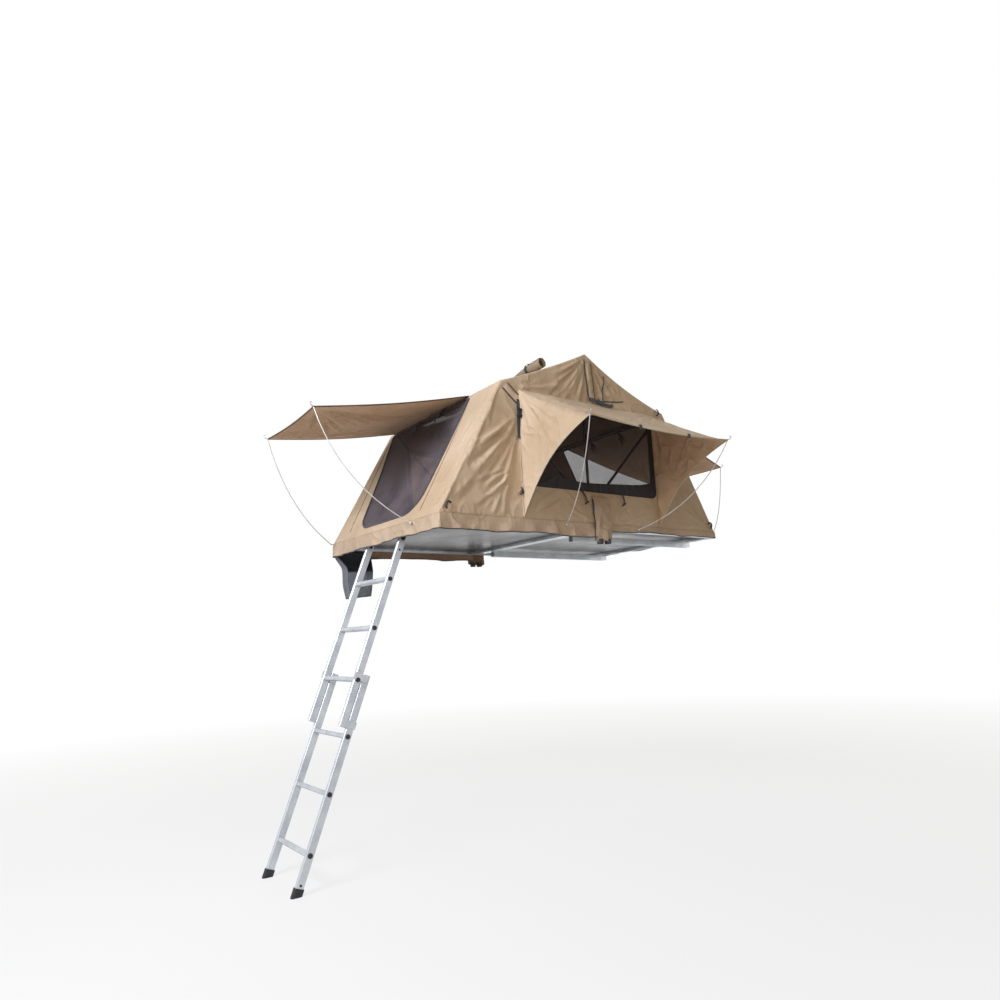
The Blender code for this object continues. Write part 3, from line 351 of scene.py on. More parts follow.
@dataclass(frozen=True)
class Webbing:
    """Woven nylon tape: close ribs across it, drawn 2 mm apart."""

    name: str
    colour: str = "1a191b"
    rib: float = 0.002

    def build(self) -> Material:
        """Makes the tape."""
        mix = Recipe(self.name, Roughness=0.62, Sheen_Weight=0.25)
        ribs = mix.wave(self.rib, "DIAGONAL", Distortion=0.3)
        # The grooves between the ribs are painted darker and the rib tops lighter, as painted shade
        # along the bump.
        mix.colour(ribs, self.colour, "302e31")
        mix.bump(ribs, 0.0003)
        return mix.material


class Wardrobe:
    """All the finishes of the tent, each made once and shared."""

    def __init__(self) -> None:
        """Makes the materials."""
        # Canvas: sand-coloured outside; its inner face is painted browner, as painted shade, and
        # warm where light comes through it.
        self.canvas = Canvas("polycotton_canvas").build()
        self.lining = Canvas("canvas_inner_face", "a3846a", "866a53", sheen=0.05).build()
        # The awnings' undersides: a lighter, warmer copy of the canvas, a painted glow of light
        # coming through it.
        self.shade = Canvas("awning_underside", "e6c6a4", "c9a582", sheen=0.05).build()
        self.skirting = Canvas("skirt_canvas", "c4ae93", "a68d72", crinkle=34.0).build()
        # The rolled vent cover: painted shade, a darker copy of the canvas.
        self.rolled = Canvas("vent_cover_canvas", "a5937a", "8b7961").build()
        self.binding = Canvas("bias_binding", "cfc0a4", "b9a686", sheen=0.2).build()
        self.brown_binding = Canvas("brown_binding", "5d4634", "49362a", sheen=0.1).build()
        self.border = Canvas("mesh_border_tape", "3a3638", "2a2729", sheen=0.15).build()
        self.ticking = Canvas("mattress_ticking", "8f8a80", "7a756c", sheen=0.1).build()
        # Coated cloth of the bag: slate grey and smoother, so that it shines a little.
        self.bag = Canvas("coated_bag_fabric", "6d7174", "5a5e61", sheen=0.05, rough=0.5).build()
        self.bag_dark = Canvas("bag_inside", "4a4d50", "383b3e", sheen=0.02).build()
        # Nets: dark and see-through at the windows, greyer at the doors, close at the vent.
        self.net = InsectMesh("insect_mesh").build()
        self.door_net = InsectMesh("door_mesh", "7d7077", 0.40).build()
        self.vent_net = InsectMesh("vent_mesh", "6d6166", 0.16).build()
        # Black trims: ribbed tape, and nylon or rubber with small highlights.
        self.piping = Webbing("black_piping", "171418").build()
        self.webbing = Webbing("nylon_webbing").build()
        self.plastic = Plastic("moulded_nylon").build()
        self.rubber = Plastic("ladder_boot_rubber", "222224", "37373a", 0.7).build()
        # Metals: bright frame and ladder, dark bows, dull hinges and pale springy rods.
        self.aluminium = Metal("extruded_aluminium").build()
        self.ladder = Metal("ladder_aluminium", "cdd1d5", "b9bec4", 0.38, 0.6).build()
        self.bow = Metal("dark_anodised_tube", "4a4a4e", "38383c", 0.4, 0.7).build()
        self.steel = Metal("zinc_plated_steel", "8f9092", "77787a", 0.35).build()
        self.rod = Metal("spring_steel_rod", "d9d8d3", "bdbcb6", 0.32, 0.55).build()
        self.laminate = Laminate("laminate_board").build()

    def dress_solids(self) -> None:
        """Gives every carried-over CAD node a finish, by the start of its name."""
        looks = (
            ("frame_", self.aluminium), ("mount_rail", self.aluminium), ("floor_", self.laminate),
            ("bow_", self.bow), ("hinge_", self.steel), ("rod_", self.rod),
            ("ladder_foot", self.rubber), ("ladder_bracket", self.plastic),
            ("ladder_", self.ladder), ("mattress_", self.ticking), ("shoe_bag", self.bag),
            ("vent_mesh", self.vent_net), ("window_mesh", self.net), ("door_mesh", self.door_net),
        )
        for name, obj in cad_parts.items():
            look = next((m for start, m in looks if name.startswith(start)), self.canvas)
            obj.data.materials.clear()
            obj.data.materials.append(look)


# Cloth cut flat, and folds pressed into it


# Large odd numbers that scramble a square's column, row and seed into a height.
COLUMN_MIX, ROW_MIX, SEED_MIX, LAST_MIX = 374761393, 668265263, 362437, 1274126177


def value_noise(a: Grid, b: Grid, size: float, seed: int) -> Grid:
    """Smooth hills and hollows from -1 to 1, the same on each run.

    Args:
        a: first coordinate, in metres.
        b: second coordinate, in metres.
        size: distance between hills.
        seed: picks the pattern.

    Returns:
        One height for each point.
    """
    x, y = a / size, b / size
    column, row = np.floor(x).astype(np.int64), np.floor(y).astype(np.int64)
    s, t = x - column, y - row
    s, t = s * s * (3 - 2 * s), t * t * (3 - 2 * t)

    def corner(right: int, up: int) -> Grid:
        """The heights at one corner of each point's square."""
        mixed = (column + right) * COLUMN_MIX + (row + up) * ROW_MIX + seed * SEED_MIX
        mixed = (mixed ^ (mixed >> 13)) * LAST_MIX
        return ((mixed ^ (mixed >> 16)) & 0xFFFF) / 32767.5 - 1

    low = corner(0, 0) * (1 - s) + corner(1, 0) * s
    high = corner(0, 1) * (1 - s) + corner(1, 1) * s
    return low * (1 - t) + high * t


def smooth(t: Grid) -> Grid:
    """Eases 0 to 1."""
    t = np.clip(t, 0, 1)
    return t * t * (3 - 2 * t)


def arch(t: Grid) -> Grid:
    """A curve that is 0 at both ends of 0 to 1, and 1 in the middle."""
    return 4 * t * (1 - t)


def pucker(along: Grid, up: Grid, pitch: float, middle: float, depth: float, seed: int) -> Grid:
    """The small waves that a seam's stitching pulls into the cloth.

    Args:
        along: distances along the seam.
        up: distances across it.
        pitch: length of a wave.
        middle: where across the seam the waves are highest.
        depth: their height.
        seed: picks the pattern.

    Returns:
        One height for each point.
    """
    waves = np.sin(along * 2 * pi / pitch + 2 * value_noise(along, up, 0.2, seed))
    return depth * waves * np.exp(-(((up - middle) / 0.014) ** 2))


@dataclass(frozen=True)
class Crease:
    """One soft fold in a sheet, in the sheet's own coordinates.

    The fold starts narrow and has a shallower hollow beside its ridge, both as shares of its
    full width and depth.
    """

    start: tuple[float, float]
    end: tuple[float, float]
    width: float
    depth: float
    bend: float = 0.0
    narrow: float = 0.4
    hollow: float = 0.55
    hollow_at: float = 1.45
    hollow_width: float = 1.05

    def height(self, a: Grid, b: Grid) -> Grid:
        """The fold's height at each point."""
        run = np.array(self.end) - np.array(self.start)
        length = float(np.hypot(*run))
        run = run / length
        da, db = a - self.start[0], b - self.start[1]
        t = (da * run[0] + db * run[1]) / length
        inside = np.clip(t, 0, 1)
        aside = db * run[0] - da * run[1] - self.bend * arch(inside)
        x = aside / (self.width * (self.narrow + (1 - self.narrow) * inside))
        beside = (x - self.hollow_at) / self.hollow_width
        ridge = np.exp(-x * x) - self.hollow * np.exp(-(beside ** 2))
        taper = np.where((t > 0) & (t < 1), np.sin(pi * inside) ** 0.75, 0)
        return self.depth * ridge * taper


def fan(
    origin: Point, angles: Point, reach: Point, count: int, width: float, depth: float, seed: int
) -> list[Crease]:
    """Folds that spread from one point.

    Args:
        origin: where they start.
        angles: the first and the last direction, in degrees.
        reach: the shortest and the longest fold.
        count: how many folds.
        width: half the width of a fold.
        depth: its height.
        seed: picks the uneven spacing.

    Returns:
        The folds, each a little uneven in place, size and bend.
    """
    draw = np.random.default_rng(seed)
    made = []
    for k in range(count):
        share = (k + 0.5 + draw.uniform(-0.3, 0.3)) / count
        angle = radians(angles[0] + (angles[1] - angles[0]) * share)
        length = draw.uniform(*reach)
        gap = draw.uniform(0.02, 0.09)
        way = np.array((cos(angle), sin(angle)))
        made.append(
            Crease(
                tuple(origin + way * gap), tuple(origin + way * length),
                width * draw.uniform(0.7, 1.3), depth * draw.uniform(0.55, 1.25),
                draw.uniform(-0.04, 0.04) * length,
            )
        )
    return made


def fans(rows: Iterable[Sequence]) -> list[Crease]:
    """The folds of several fans, each row holding what fan() takes."""
    return [crease for row in rows for crease in fan(*row)]


def heights(creases: Iterable[Crease], a: Grid, b: Grid) -> Grid:
    """The sum of many folds."""
    total = np.zeros_like(a)
    for crease in creases:
        total += crease.height(a, b)
    return total


def round_corners(corners: Sequence[Point], radii: Sequence[float], steps: int = 6) -> list:
    """A closed outline with its corners rounded.

    Args:
        corners: the sharp corners in order.
        radii: one radius for each corner.
        steps: pieces in each arc.

    Returns:
        The outline's points.
    """
    points = []
    for i, corner in enumerate(corners):
        here = Vector(corner)
        back = (Vector(corners[i - 1]) - here).normalized()
        on = (Vector(corners[(i + 1) % len(corners)]) - here).normalized()
        half = back.angle(on) / 2
        run = radii[i] / tan(half)
        middle = here + (back + on).normalized() * radii[i] / sin(half)
        first, last = here + back * run - middle, here + on * run - middle
        turn = first.angle(last)
        square = (last - first * cos(turn)) / sin(turn)
        points += [
            tuple(middle + first * cos(turn * k / steps) + square * sin(turn * k / steps))
            for k in range(steps + 1)
        ]
    return points


def rectangle(low: Point, high: Point, inset: float = 0.0) -> list:
    """The corners of a rectangle, moved in from its sides."""
    a, b, c, d = low[0] + inset, low[1] + inset, high[0] - inset, high[1] - inset
    return [(a, b), (c, b), (c, d), (a, d)]


def sides_of(outline: Sequence[Point]) -> list:
    """The sides of a closed outline, as pairs of points."""
    return list(zip(outline, [*outline[1:], outline[0]]))


def outward_of(p: Point, q: Point) -> Vector:
    """The direction out of an outline at its side from p to q."""
    return Vector((q[1] - p[1], p[0] - q[0])).normalized()


def inside(outline: Sequence[Point], x: float, y: float) -> bool:
    """Whether a point lies in an outline."""
    found = False
    for (x0, y0), (x1, y1) in sides_of(outline):
        if (y0 > y) != (y1 > y) and x < (x1 - x0) * (y - y0) / (y1 - y0) + x0:
            found = not found
    return found


def quilt(points: Sequence) -> Shape:
    """Squares between rows of points."""
    bm = bmesh.new()
    rows = [[bm.verts.new(p) for p in row] for row in points]
    for lower, upper in zip(rows, rows[1:]):
        for square in zip(lower, lower[1:], upper[1:], upper):
            bm.faces.new(square)
    return bm


def face_out(bm: Shape, outward: Point) -> None:
    """Turns a sheet's face to look along a direction."""
    bm.normal_update()
    facing = sum((f.normal * f.calc_area() for f in bm.faces), Vector())
    if facing.dot(Vector(outward)) < 0:
        bmesh.ops.reverse_faces(bm, faces=bm.faces)


class Cut:
    """A flat cut of cloth, as a grid that is trimmed, opened and parted."""

    def __init__(self, low: Point, high: Point, cell: float) -> None:
        """Lays out a rectangle of small squares.

        Args:
            low: the lowest corner.
            high: the highest corner.
            cell: the squares' size.
        """
        self.cell = cell
        xs, ys = (
            np.linspace(a, b, max(2, round((b - a) / cell) + 1)) for a, b in zip(low, high)
        )
        self.bm = quilt([[(x, y, 0) for x in xs] for y in ys])

    def slice(
        self, point: Point, normal: Point, clear: bool = False, near: list | None = None
    ) -> None:
        """Cuts along a line, all over or in some faces, and may drop what lies beyond it."""
        if near is None:
            geometry = [*self.bm.verts, *self.bm.edges, *self.bm.faces]
        else:
            geometry = list({x for f in near for x in (f, *f.edges, *f.verts)})
        bmesh.ops.bisect_plane(
            self.bm, geom=geometry, dist=0.00002, plane_co=(*point, 0), plane_no=(*normal, 0),
            clear_outer=clear,
        )

    def beside(self, p: Point, q: Point, reach: float) -> list:
        """The faces whose centres lie within reach of the line from p to q."""
        p, q = Vector(p), Vector(q)
        run = q - p
        found = []
        for face in self.bm.faces:
            centre = face.calc_center_median().xy
            t = min(1, max(0, (centre - p).dot(run) / run.length_squared))
            if (centre - p - run * t).length < reach:
                found.append(face)
        return found

    def trim(self, outline: Sequence[Point], fine: Point = (0.005, 0.011, 0.018)) -> "Cut":
        """Keeps what lies in a convex outline, with finer squares along its edge."""
        edges = [(p, q, outward_of(p, q)) for p, q in sides_of(outline)]
        for p, _, out in edges:
            self.slice(p, out, clear=True)
        for p, q, out in edges:
            for depth in fine:
                band = self.beside(p, q, self.cell * 1.5 + depth)
                self.slice(Vector(p) - out * depth, out, near=band)
        return self

    def open(self, outline: Sequence[Point], keep: bool = False) -> "Cut":
        """Cuts an opening of any outline, or keeps only what fills it."""
        for p, q in sides_of(outline):
            self.slice(p, outward_of(p, q), near=self.beside(p, q, self.cell * 1.1))
        drop = [f for f in self.bm.faces if inside(outline, *f.calc_center_median().xy) != keep]
        bmesh.ops.delete(self.bm, geom=drop, context="FACES")
        return self

    def part(self, test: Callable[[float, float], bool]) -> "Cut":
        """A copy that keeps the faces whose centres pass the test."""
        made = Cut.__new__(Cut)
        made.cell, made.bm = self.cell, self.bm.copy()
        drop = [f for f in made.bm.faces if not test(*f.calc_center_median().xy)]
        bmesh.ops.delete(made.bm, geom=drop, context="FACES")
        return made

    def area(self) -> float:
        """The cloth's area before it is hung."""
        return sum(f.calc_area() for f in self.bm.faces)

    def hang(self, name: str, mapper: Mapper, outward: Grid) -> Piece:
        """Moves the cut to its place in the tent.

        Args:
            name: the new object's name.
            mapper: gives a place for each point of the flat cut.
            outward: a direction that the cloth's face should look along.

        Returns:
            The new object, with no thickness yet.
        """
        flat = np.array([v.co[:2] for v in self.bm.verts])
        for vert, point in zip(self.bm.verts, mapper(flat[:, 0], flat[:, 1])):
            vert.co = point
        face_out(self.bm, outward)
        return to_object(name, self.bm)


def to_object(name: str, bm: Shape) -> Piece:
    """Makes a bmesh an object at the origin, shaded smooth."""
    mesh = bpy.data.meshes.new(name)
    bm.to_mesh(mesh)
    bm.free()
    mesh.shade_smooth()
    made = bpy.data.objects.new(name, mesh)
    bpy.context.collection.objects.link(made)
    return made


def pick(obj: Piece) -> None:
    """Makes one object the selected and active one."""
    bpy.ops.object.select_all(action="DESELECT")
    obj.select_set(True)
    bpy.context.view_layer.objects.active = obj


def thicken(obj: Piece, gauge: float, materials: Sequence, offset: float = -1) -> None:
    """Gives a sheet its thickness, and its inner face a material of its own.

    Args:
        obj: the sheet.
        gauge: the thickness.
        materials: the outer face's, and the inner face's if it differs.
        offset: -1 grows the sheet inwards, 1 outwards.
    """
    for material in materials:
        obj.data.materials.append(material)
    shell = obj.modifiers.new("gauge", "SOLIDIFY")
    shell.thickness = gauge
    shell.offset = offset
    shell.material_offset = len(materials) - 1
    pick(obj)
    bpy.ops.object.modifier_apply(modifier=shell.name)


def grid_sheet(name: str, points: Grid, outward: Point) -> Piece:
    """A sheet through rows of points."""
    bm = quilt(points)
    bmesh.ops.remove_doubles(bm, verts=bm.verts, dist=0.00005)
    bmesh.ops.dissolve_degenerate(bm, edges=bm.edges, dist=0.00001)
    face_out(bm, outward)
    return to_object(name, bm)


def grid_area(points: Grid) -> float:
    """The area of a sheet through rows of points."""
    across, along = points[:-1, 1:] - points[:-1, :-1], points[1:, :-1] - points[:-1, :-1]
    return float(np.linalg.norm(np.cross(across, along), axis=2).sum())


def grid_normals(points: Grid) -> Grid:
    """Unit normals of a sheet through rows of points."""
    normal = np.cross(np.gradient(points, axis=1), np.gradient(points, axis=0))
    size = np.linalg.norm(normal, axis=2, keepdims=True)
    return normal / np.maximum(size, 1e-9)


def cord_of(
    name: str, paths: Sequence, radius: float, material: Material, sides: int = 2
) -> Piece:
    """Round piping along paths, as one mesh with filled ends."""
    curve = bpy.data.curves.new(name, "CURVE")
    curve.dimensions = "3D"
    curve.bevel_depth = radius
    curve.bevel_resolution = sides
    curve.use_fill_caps = True
    for path in paths:
        spline = curve.splines.new("POLY")
        spline.points.add(len(path) - 1)
        for target, point in zip(spline.points, path):
            target.co = (*point, 1)
    made = bpy.data.objects.new(name, curve)
    bpy.context.collection.objects.link(made)
    pick(made)
    bpy.ops.object.convert(target="MESH")
    made = bpy.context.active_object
    made.data.materials.clear()
    made.data.materials.append(material)
    made.data.shade_smooth()
    return made


def loft(rings: Sequence) -> Shape:
    """A closed skin through rings of points, each with as many points."""
    bm = bmesh.new()
    loops = [[bm.verts.new(p) for p in ring] for ring in rings]
    for lower, upper in zip(loops, loops[1:]):
        for k in range(len(lower)):
            bm.faces.new((lower[k - 1], lower[k], upper[k], upper[k - 1]))
    bm.faces.new(loops[0])
    bm.faces.new(loops[-1])
    bmesh.ops.recalc_face_normals(bm, faces=bm.faces)
    return bm


def ribbon(
    name: str, path: Sequence, facing: Sequence, width: float, gauge: float, material: Material
) -> Piece:
    """A flat strap along a path.

    Args:
        name: the new object's name.
        path: points along its middle.
        facing: the direction that its face looks along at each point, or one for all.
        width: across the strap.
        gauge: its thickness.
        material: its finish.

    Returns:
        The strap.
    """
    spine = np.array([tuple(p) for p in path], float)
    look = np.array([tuple(f) for f in facing], float)
    if len(look) == 1:
        look = np.repeat(look, len(spine), axis=0)
    run = np.gradient(spine, axis=0)
    aside = np.cross(run, look)
    aside /= np.linalg.norm(aside, axis=1, keepdims=True)
    look = np.cross(aside, run)
    look /= np.linalg.norm(look, axis=1, keepdims=True)
    half, rise = aside * width / 2, look * gauge
    ring = np.stack(
        [spine - half, spine + half, spine + half + rise, spine - half + rise], axis=1
    )
    made = to_object(name, loft(ring))
    made.data.materials.append(material)
    pick(made)
    bpy.ops.object.shade_smooth_by_angle(angle=radians(40))
    return made


def merge(name: str, parts: Sequence[Piece]) -> Piece:
    """Joins small parts of one piece into one object."""
    bpy.ops.object.select_all(action="DESELECT")
    for part in parts:
        part.select_set(True)
    bpy.context.view_layer.objects.active = parts[0]
    if len(parts) > 1:
        bpy.ops.object.join()
    made = bpy.context.active_object
    made.name = name
    return made


def solid(kind: str, **options: Any) -> Piece:
    """Adds one of Blender's basic solids, with nothing else selected."""
    bpy.ops.object.select_all(action="DESELECT")
    getattr(bpy.ops.mesh, f"primitive_{kind}_add")(**options)
    return bpy.context.active_object


def bevel(obj: Piece, width: float) -> None:
    """Rounds a solid's sharp edges."""
    edge = obj.modifiers.new("edge", "BEVEL")
    edge.width = width
    edge.segments = 2


def sink_end(obj: Piece, end: Vector, rim: float, depth: float) -> None:
    """Leaves a rim round the face that looks along a direction, and sinks its middle."""
    bpy.ops.object.mode_set(mode="EDIT")
    bpy.ops.mesh.select_mode(type="FACE")
    bpy.ops.mesh.select_all(action="DESELECT")
    bpy.ops.object.mode_set(mode="OBJECT")
    for face in obj.data.polygons:
        face.select = face.normal.dot(end) > 0.9
    bpy.ops.object.mode_set(mode="EDIT")
    bpy.ops.mesh.inset(thickness=rim)
    bpy.ops.transform.translate(value=-end * depth)
    bpy.ops.object.mode_set(mode="OBJECT")


def peg(at: Vector, radius: float, length: float, turn: Point, material: Material) -> Piece:
    """A small round toggle, turned from upright."""
    made = solid("cylinder", vertices=16, radius=radius, depth=length, location=at)
    made.rotation_euler = turn
    bevel(made, 0.002)
    return settle(made, material)


def wire_hook(at: Point, out: Vector, shank: float, material: Material) -> Piece:
    """The bent wire at an awning's corner that takes the end of a rod."""
    at = Vector(at)
    front = at + out * (shank + 0.002)
    rise = Vector((0, 0, 1))
    path = [at - out * shank, front, front + out * 0.010 + rise * 0.012, front + rise * 0.020]
    return cord_of("hook", [path], 0.0024, material)


def wear_on(piece: Piece, body: str) -> None:
    """Fastens a piece to a body."""
    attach(piece, body)
    log.info("%s rides on %s", piece.name, body)


def gather(piece: Piece) -> None:
    """Gives a piece of a hood a mesh of its own."""
    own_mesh(piece)


def settle(obj: Piece, material: Material, sharp: float = 35) -> Piece:
    """Applies a modelled piece's place and modifiers, shades it and gives it its material."""
    pick(obj)
    for modifier in list(obj.modifiers):
        bpy.ops.object.modifier_apply(modifier=modifier.name)
    bpy.ops.object.transform_apply(location=True, rotation=True, scale=True)
    bpy.ops.object.shade_smooth_by_angle(angle=radians(sharp))
    obj.data.materials.clear()
    obj.data.materials.append(material)
    return obj


def frame_at(point: Point, along: Point, up: Point) -> Matrix:
    """The matrix that puts local X along a direction and local Z towards up."""
    x = Vector(along).normalized()
    z = Vector(up)
    z = (z - x * z.dot(x)).normalized()
    turn = Matrix((x, z.cross(x), z)).transposed().to_4x4()
    return Matrix.Translation(Vector(point)) @ turn


# The parts of the tent


@dataclass(frozen=True)
class Sector:
    """The cloth between two neighbours in the chain of bows, and how it turns with them."""

    name: str
    bodies: tuple[str, str]
    angles: tuple[float, float]
    way: float
    spread: tuple[float, float]

    def holds(self, u: float, w: float) -> bool:
        """Whether a place on a side wall belongs to this sector."""
        angle = degrees(atan2(w - HINGE_W, u))
        if angle < -90:
            angle += 360
        return self.angles[0] <= angle < self.angles[1]

    def drape(self, piece: Piece, slot: str) -> None:
        """Bakes a piece's place into its mesh, and logs the sector's two neighbours."""
        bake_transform(piece)
        log.info("%s turns with %s and %s", piece.name, *self.bodies)


# The sectors run from the fixed base over the three bows to the base that folds out.
SECTORS = (
    Sector("fixed_end", ("base_fixed", "bow_fixed"), (-91, 45), 105, (-0.20, 0.42)),
    Sector("fixed_roof", ("bow_fixed", "bow_centre"), (45, 90), 157.5, (-0.33, 0.33)),
    Sector("out_roof", ("bow_centre", "bow_out"), (90, 135), -157.5 + 360, (-0.33, 0.33)),
    Sector("out_end", ("bow_out", "base_out"), (135, 271), -105 + 360, (-0.42, 0.20)),
)


# Fans of folds after the photograph: where they start, the first and last direction, the
# shortest and longest fold, how many, half their width, their height and a seed.
WALL_FOLDS = (
    ((-0.575, 0.60), (205, 258), (0.45, 0.80), 8, 0.021, 0.0085, 3),
    ((-0.575, 0.66), (214, 238), (0.55, 0.88), 4, 0.026, 0.0080, 2),
    ((-0.60, 0.34), (196, 244), (0.25, 0.50), 5, 0.017, 0.0065, 4),
    ((-0.72, 0.83), (228, 252), (0.30, 0.62), 4, 0.020, 0.0055, 5),
    ((0.0, 1.13), (207, 262), (0.26, 0.50), 8, 0.019, 0.0075, 6),
    ((0.03, 1.12), (282, 330), (0.22, 0.42), 4, 0.018, 0.0045, 7),
    ((-0.70, 0.80), (8, 34), (0.22, 0.48), 4, 0.016, 0.0055, 8),
    ((0.62, 0.52), (285, 330), (0.25, 0.55), 5, 0.020, 0.0065, 9),
    ((-0.56, 0.0), (14, 50), (0.16, 0.34), 5, 0.013, 0.0085, 10),
    ((-0.02, 0.0), (128, 172), (0.16, 0.34), 4, 0.013, 0.0085, 11),
    ((0.13, 0.0), (10, 52), (0.18, 0.36), 4, 0.013, 0.0080, 12),
    ((0.66, 0.80), (300, 318), (0.3, 0.6), 3, 0.018, 0.0045, 13),
    ((1.14, 0.01), (122, 174), (0.24, 0.52), 6, 0.016, 0.0070, 14),
)
END_FOLDS = (
    ((-0.69, 0.92), (272, 290), (0.4, 0.8), 3, 0.018, 0.0035, 21),
    ((0.66, 0.92), (250, 268), (0.4, 0.8), 3, 0.018, 0.0035, 22),
    ((0.70, 0.02), (95, 130), (0.12, 0.3), 4, 0.014, 0.0035, 23),
    ((-0.70, 0.02), (50, 85), (0.12, 0.3), 4, 0.014, 0.0035, 24),
)
ROOF_FOLDS = (
    ((-0.70, 0.02), (20, 75), (0.25, 0.6), 5, 0.020, 0.004, 31),
    ((0.70, 0.02), (105, 160), (0.25, 0.6), 5, 0.020, 0.004, 32),
    ((-0.70, 0.76), (-60, -15), (0.2, 0.5), 4, 0.018, 0.004, 33),
    ((0.70, 0.76), (195, 240), (0.2, 0.5), 4, 0.018, 0.004, 34),
)


@dataclass
class Gable:
    """The shape of the pitched canvas: flat faces, rounded where they meet, with folds."""

    rounding: float = 0.012
    eave_sag_fixed: float = 0.030
    eave_sag_out: float = 0.010
    eave_reach: float = 0.26
    roof_hollow: float = 0.024
    wall_hollow: float = 0.008
    end_hollow: float = 0.006
    wall_fold_gain: float = 1.6
    edge: float = 0.05

    def __post_init__(self) -> None:
        """Works out the inner outline that the rounding rolls on."""
        su, sw = SHOULDER
        self.outline = [(-PANEL, 0), (PANEL, 0), (su, sw), (0, RIDGE_W), (-su, sw)]
        lines = []
        for p, q in sides_of(self.outline):
            out = outward_of(p, q)
            base = Vector(p) - out * self.rounding if p[1] or q[1] else Vector((0, -1.0))
            lines.append((base, out))
        self.core = []
        for (p, m), (q, n) in zip([lines[-1], *lines[:-1]], lines):
            system = Matrix(((m.x, m.y), (n.x, n.y)))
            self.core.append(tuple(system.inverted() @ Vector((m.dot(p), n.dot(q)))))
        self.end_slope = atan2(sw, PANEL - su)
        self.roof_slope = atan2(RIDGE_W - sw, su)
        self.roof_length = hypot(su, RIDGE_W - sw)
        self.end_length = hypot(PANEL - su, sw)
        self.wall_folds, self.end_folds, self.roof_folds = map(
            fans, (WALL_FOLDS, END_FOLDS, ROOF_FOLDS)
        )

    def roll(self, u: Grid, y: Grid, w: Grid) -> tuple[Grid, Grid]:
        """Rolls sharp edges over a small radius.

        Args:
            u: distances along the tent.
            y: distances across it.
            w: heights.

        Returns:
            The points on the rounded body, and the directions out of it.
        """
        best = np.full(u.shape, 1e9)
        cu, cw = u.copy(), w.copy()
        within = np.ones(u.shape, bool)
        for p, q in sides_of(self.core):
            run = np.array(q) - np.array(p)
            out = np.array([run[1], -run[0]]) / np.hypot(*run)
            within &= (u - p[0]) * out[0] + (w - p[1]) * out[1] <= 1e-9
        for p, q in sides_of(self.core):
            run = np.array(q) - np.array(p)
            t = np.clip(((u - p[0]) * run[0] + (w - p[1]) * run[1]) / (run @ run), 0, 1)
            nu, nw = p[0] + t * run[0], p[1] + t * run[1]
            gap = np.hypot(u - nu, w - nw)
            closer = (gap < best) & ~within
            cu, cw = np.where(closer, nu, cu), np.where(closer, nw, cw)
            best = np.where(closer, gap, best)
        limit = HALF_WIDTH - self.rounding
        cy = np.clip(y, -limit, limit)
        out = np.stack([u - cu, y - cy, w - cw], axis=1)
        out /= np.maximum(np.linalg.norm(out, axis=1, keepdims=True), 1e-9)
        core = np.stack([cu, cy, cw], axis=1)
        return core + out * self.rounding, out

    def sag(self, u: Grid, depth: Grid) -> Grid:
        """How far the eaves sink between the bows, and which way."""
        t = np.clip(np.abs(u) / SHOULDER[0], 0, 1)
        drop = np.where(u > 0, self.eave_sag_fixed, self.eave_sag_out) * arch(t)
        drop = drop * (1 - smooth(depth / self.eave_reach))
        drop = np.where(np.abs(u) < SHOULDER[0], drop, 0)
        along, down = -np.sign(u) * sin(self.roof_slope), -cos(self.roof_slope)
        return np.stack([along * drop, np.zeros_like(u), down * drop], axis=1)

    def eave(self, u: Grid) -> Grid:
        """The height of the roof's edge at u, straight between the bows."""
        su, sw = SHOULDER
        across = np.abs(u)
        high = RIDGE_W - (RIDGE_W - sw) * across / su
        low = sw - sw * (across - su) / (PANEL - su)
        return np.where(across < su, high, low)

    def raised(self, points: Grid, out: Grid, lift: Grid) -> Grid:
        """Raises the rounded body by the folds and returns places in the frame."""
        return points + out * lift[:, None] + ORIGIN

    def free(self, y: Grid, b: Grid, length: float, foot: float) -> Grid:
        """How free a slope's cloth is to crease, from 0 at its edges to 1 inside them."""
        loose = smooth((HALF_WIDTH - np.abs(y)) / self.edge) * smooth(b / foot)
        return loose * smooth((length - b) / self.edge)

    def wall(self, side: Side, lift: float = 0.0) -> Mapper:
        """The map of a side wall, whose cut is laid out in u and w."""

        def mapped(u: Grid, w: Grid) -> Grid:
            """Places points of the wall."""
            points, out = self.roll(u, np.full(u.shape, side.value * HALF_WIDTH), w)
            turned = -side.value * u
            eave = self.eave(u)
            points = points + self.sag(u, np.maximum(eave - w, 0))
            loose = smooth((eave - w) / self.edge) * smooth((w - 0.002) / 0.03)
            rise = heights(self.wall_folds, turned, w) * self.wall_fold_gain
            # The hood's root holds the cloth flat along both sides of the window.
            held = np.exp(-(((np.abs(u) - 0.59) / 0.022) ** 2)) * (w < 0.83)
            rise += 0.0030 * value_noise(turned + 0.4 * w, w - 0.5 * turned, 0.17, 52)
            rise += 0.0012 * value_noise(turned + w, (w - turned) * 0.5, 0.05, 53)
            hollow = np.sin(pi * np.clip(w / np.maximum(eave, 0.05), 0, 1))
            rise = (rise - self.wall_hollow * hollow) * (1 - held) * loose
            rise += pucker(u, w, 0.034, 0.012, 0.0016, 51)
            return self.raised(points, out, np.where(w < 0.0005, 0, rise) + lift)

        return mapped

    def roof(self, half: Half, lift: float = 0.0) -> Mapper:
        """The map of a roof slope, whose cut is laid out in y and distance from the ridge."""

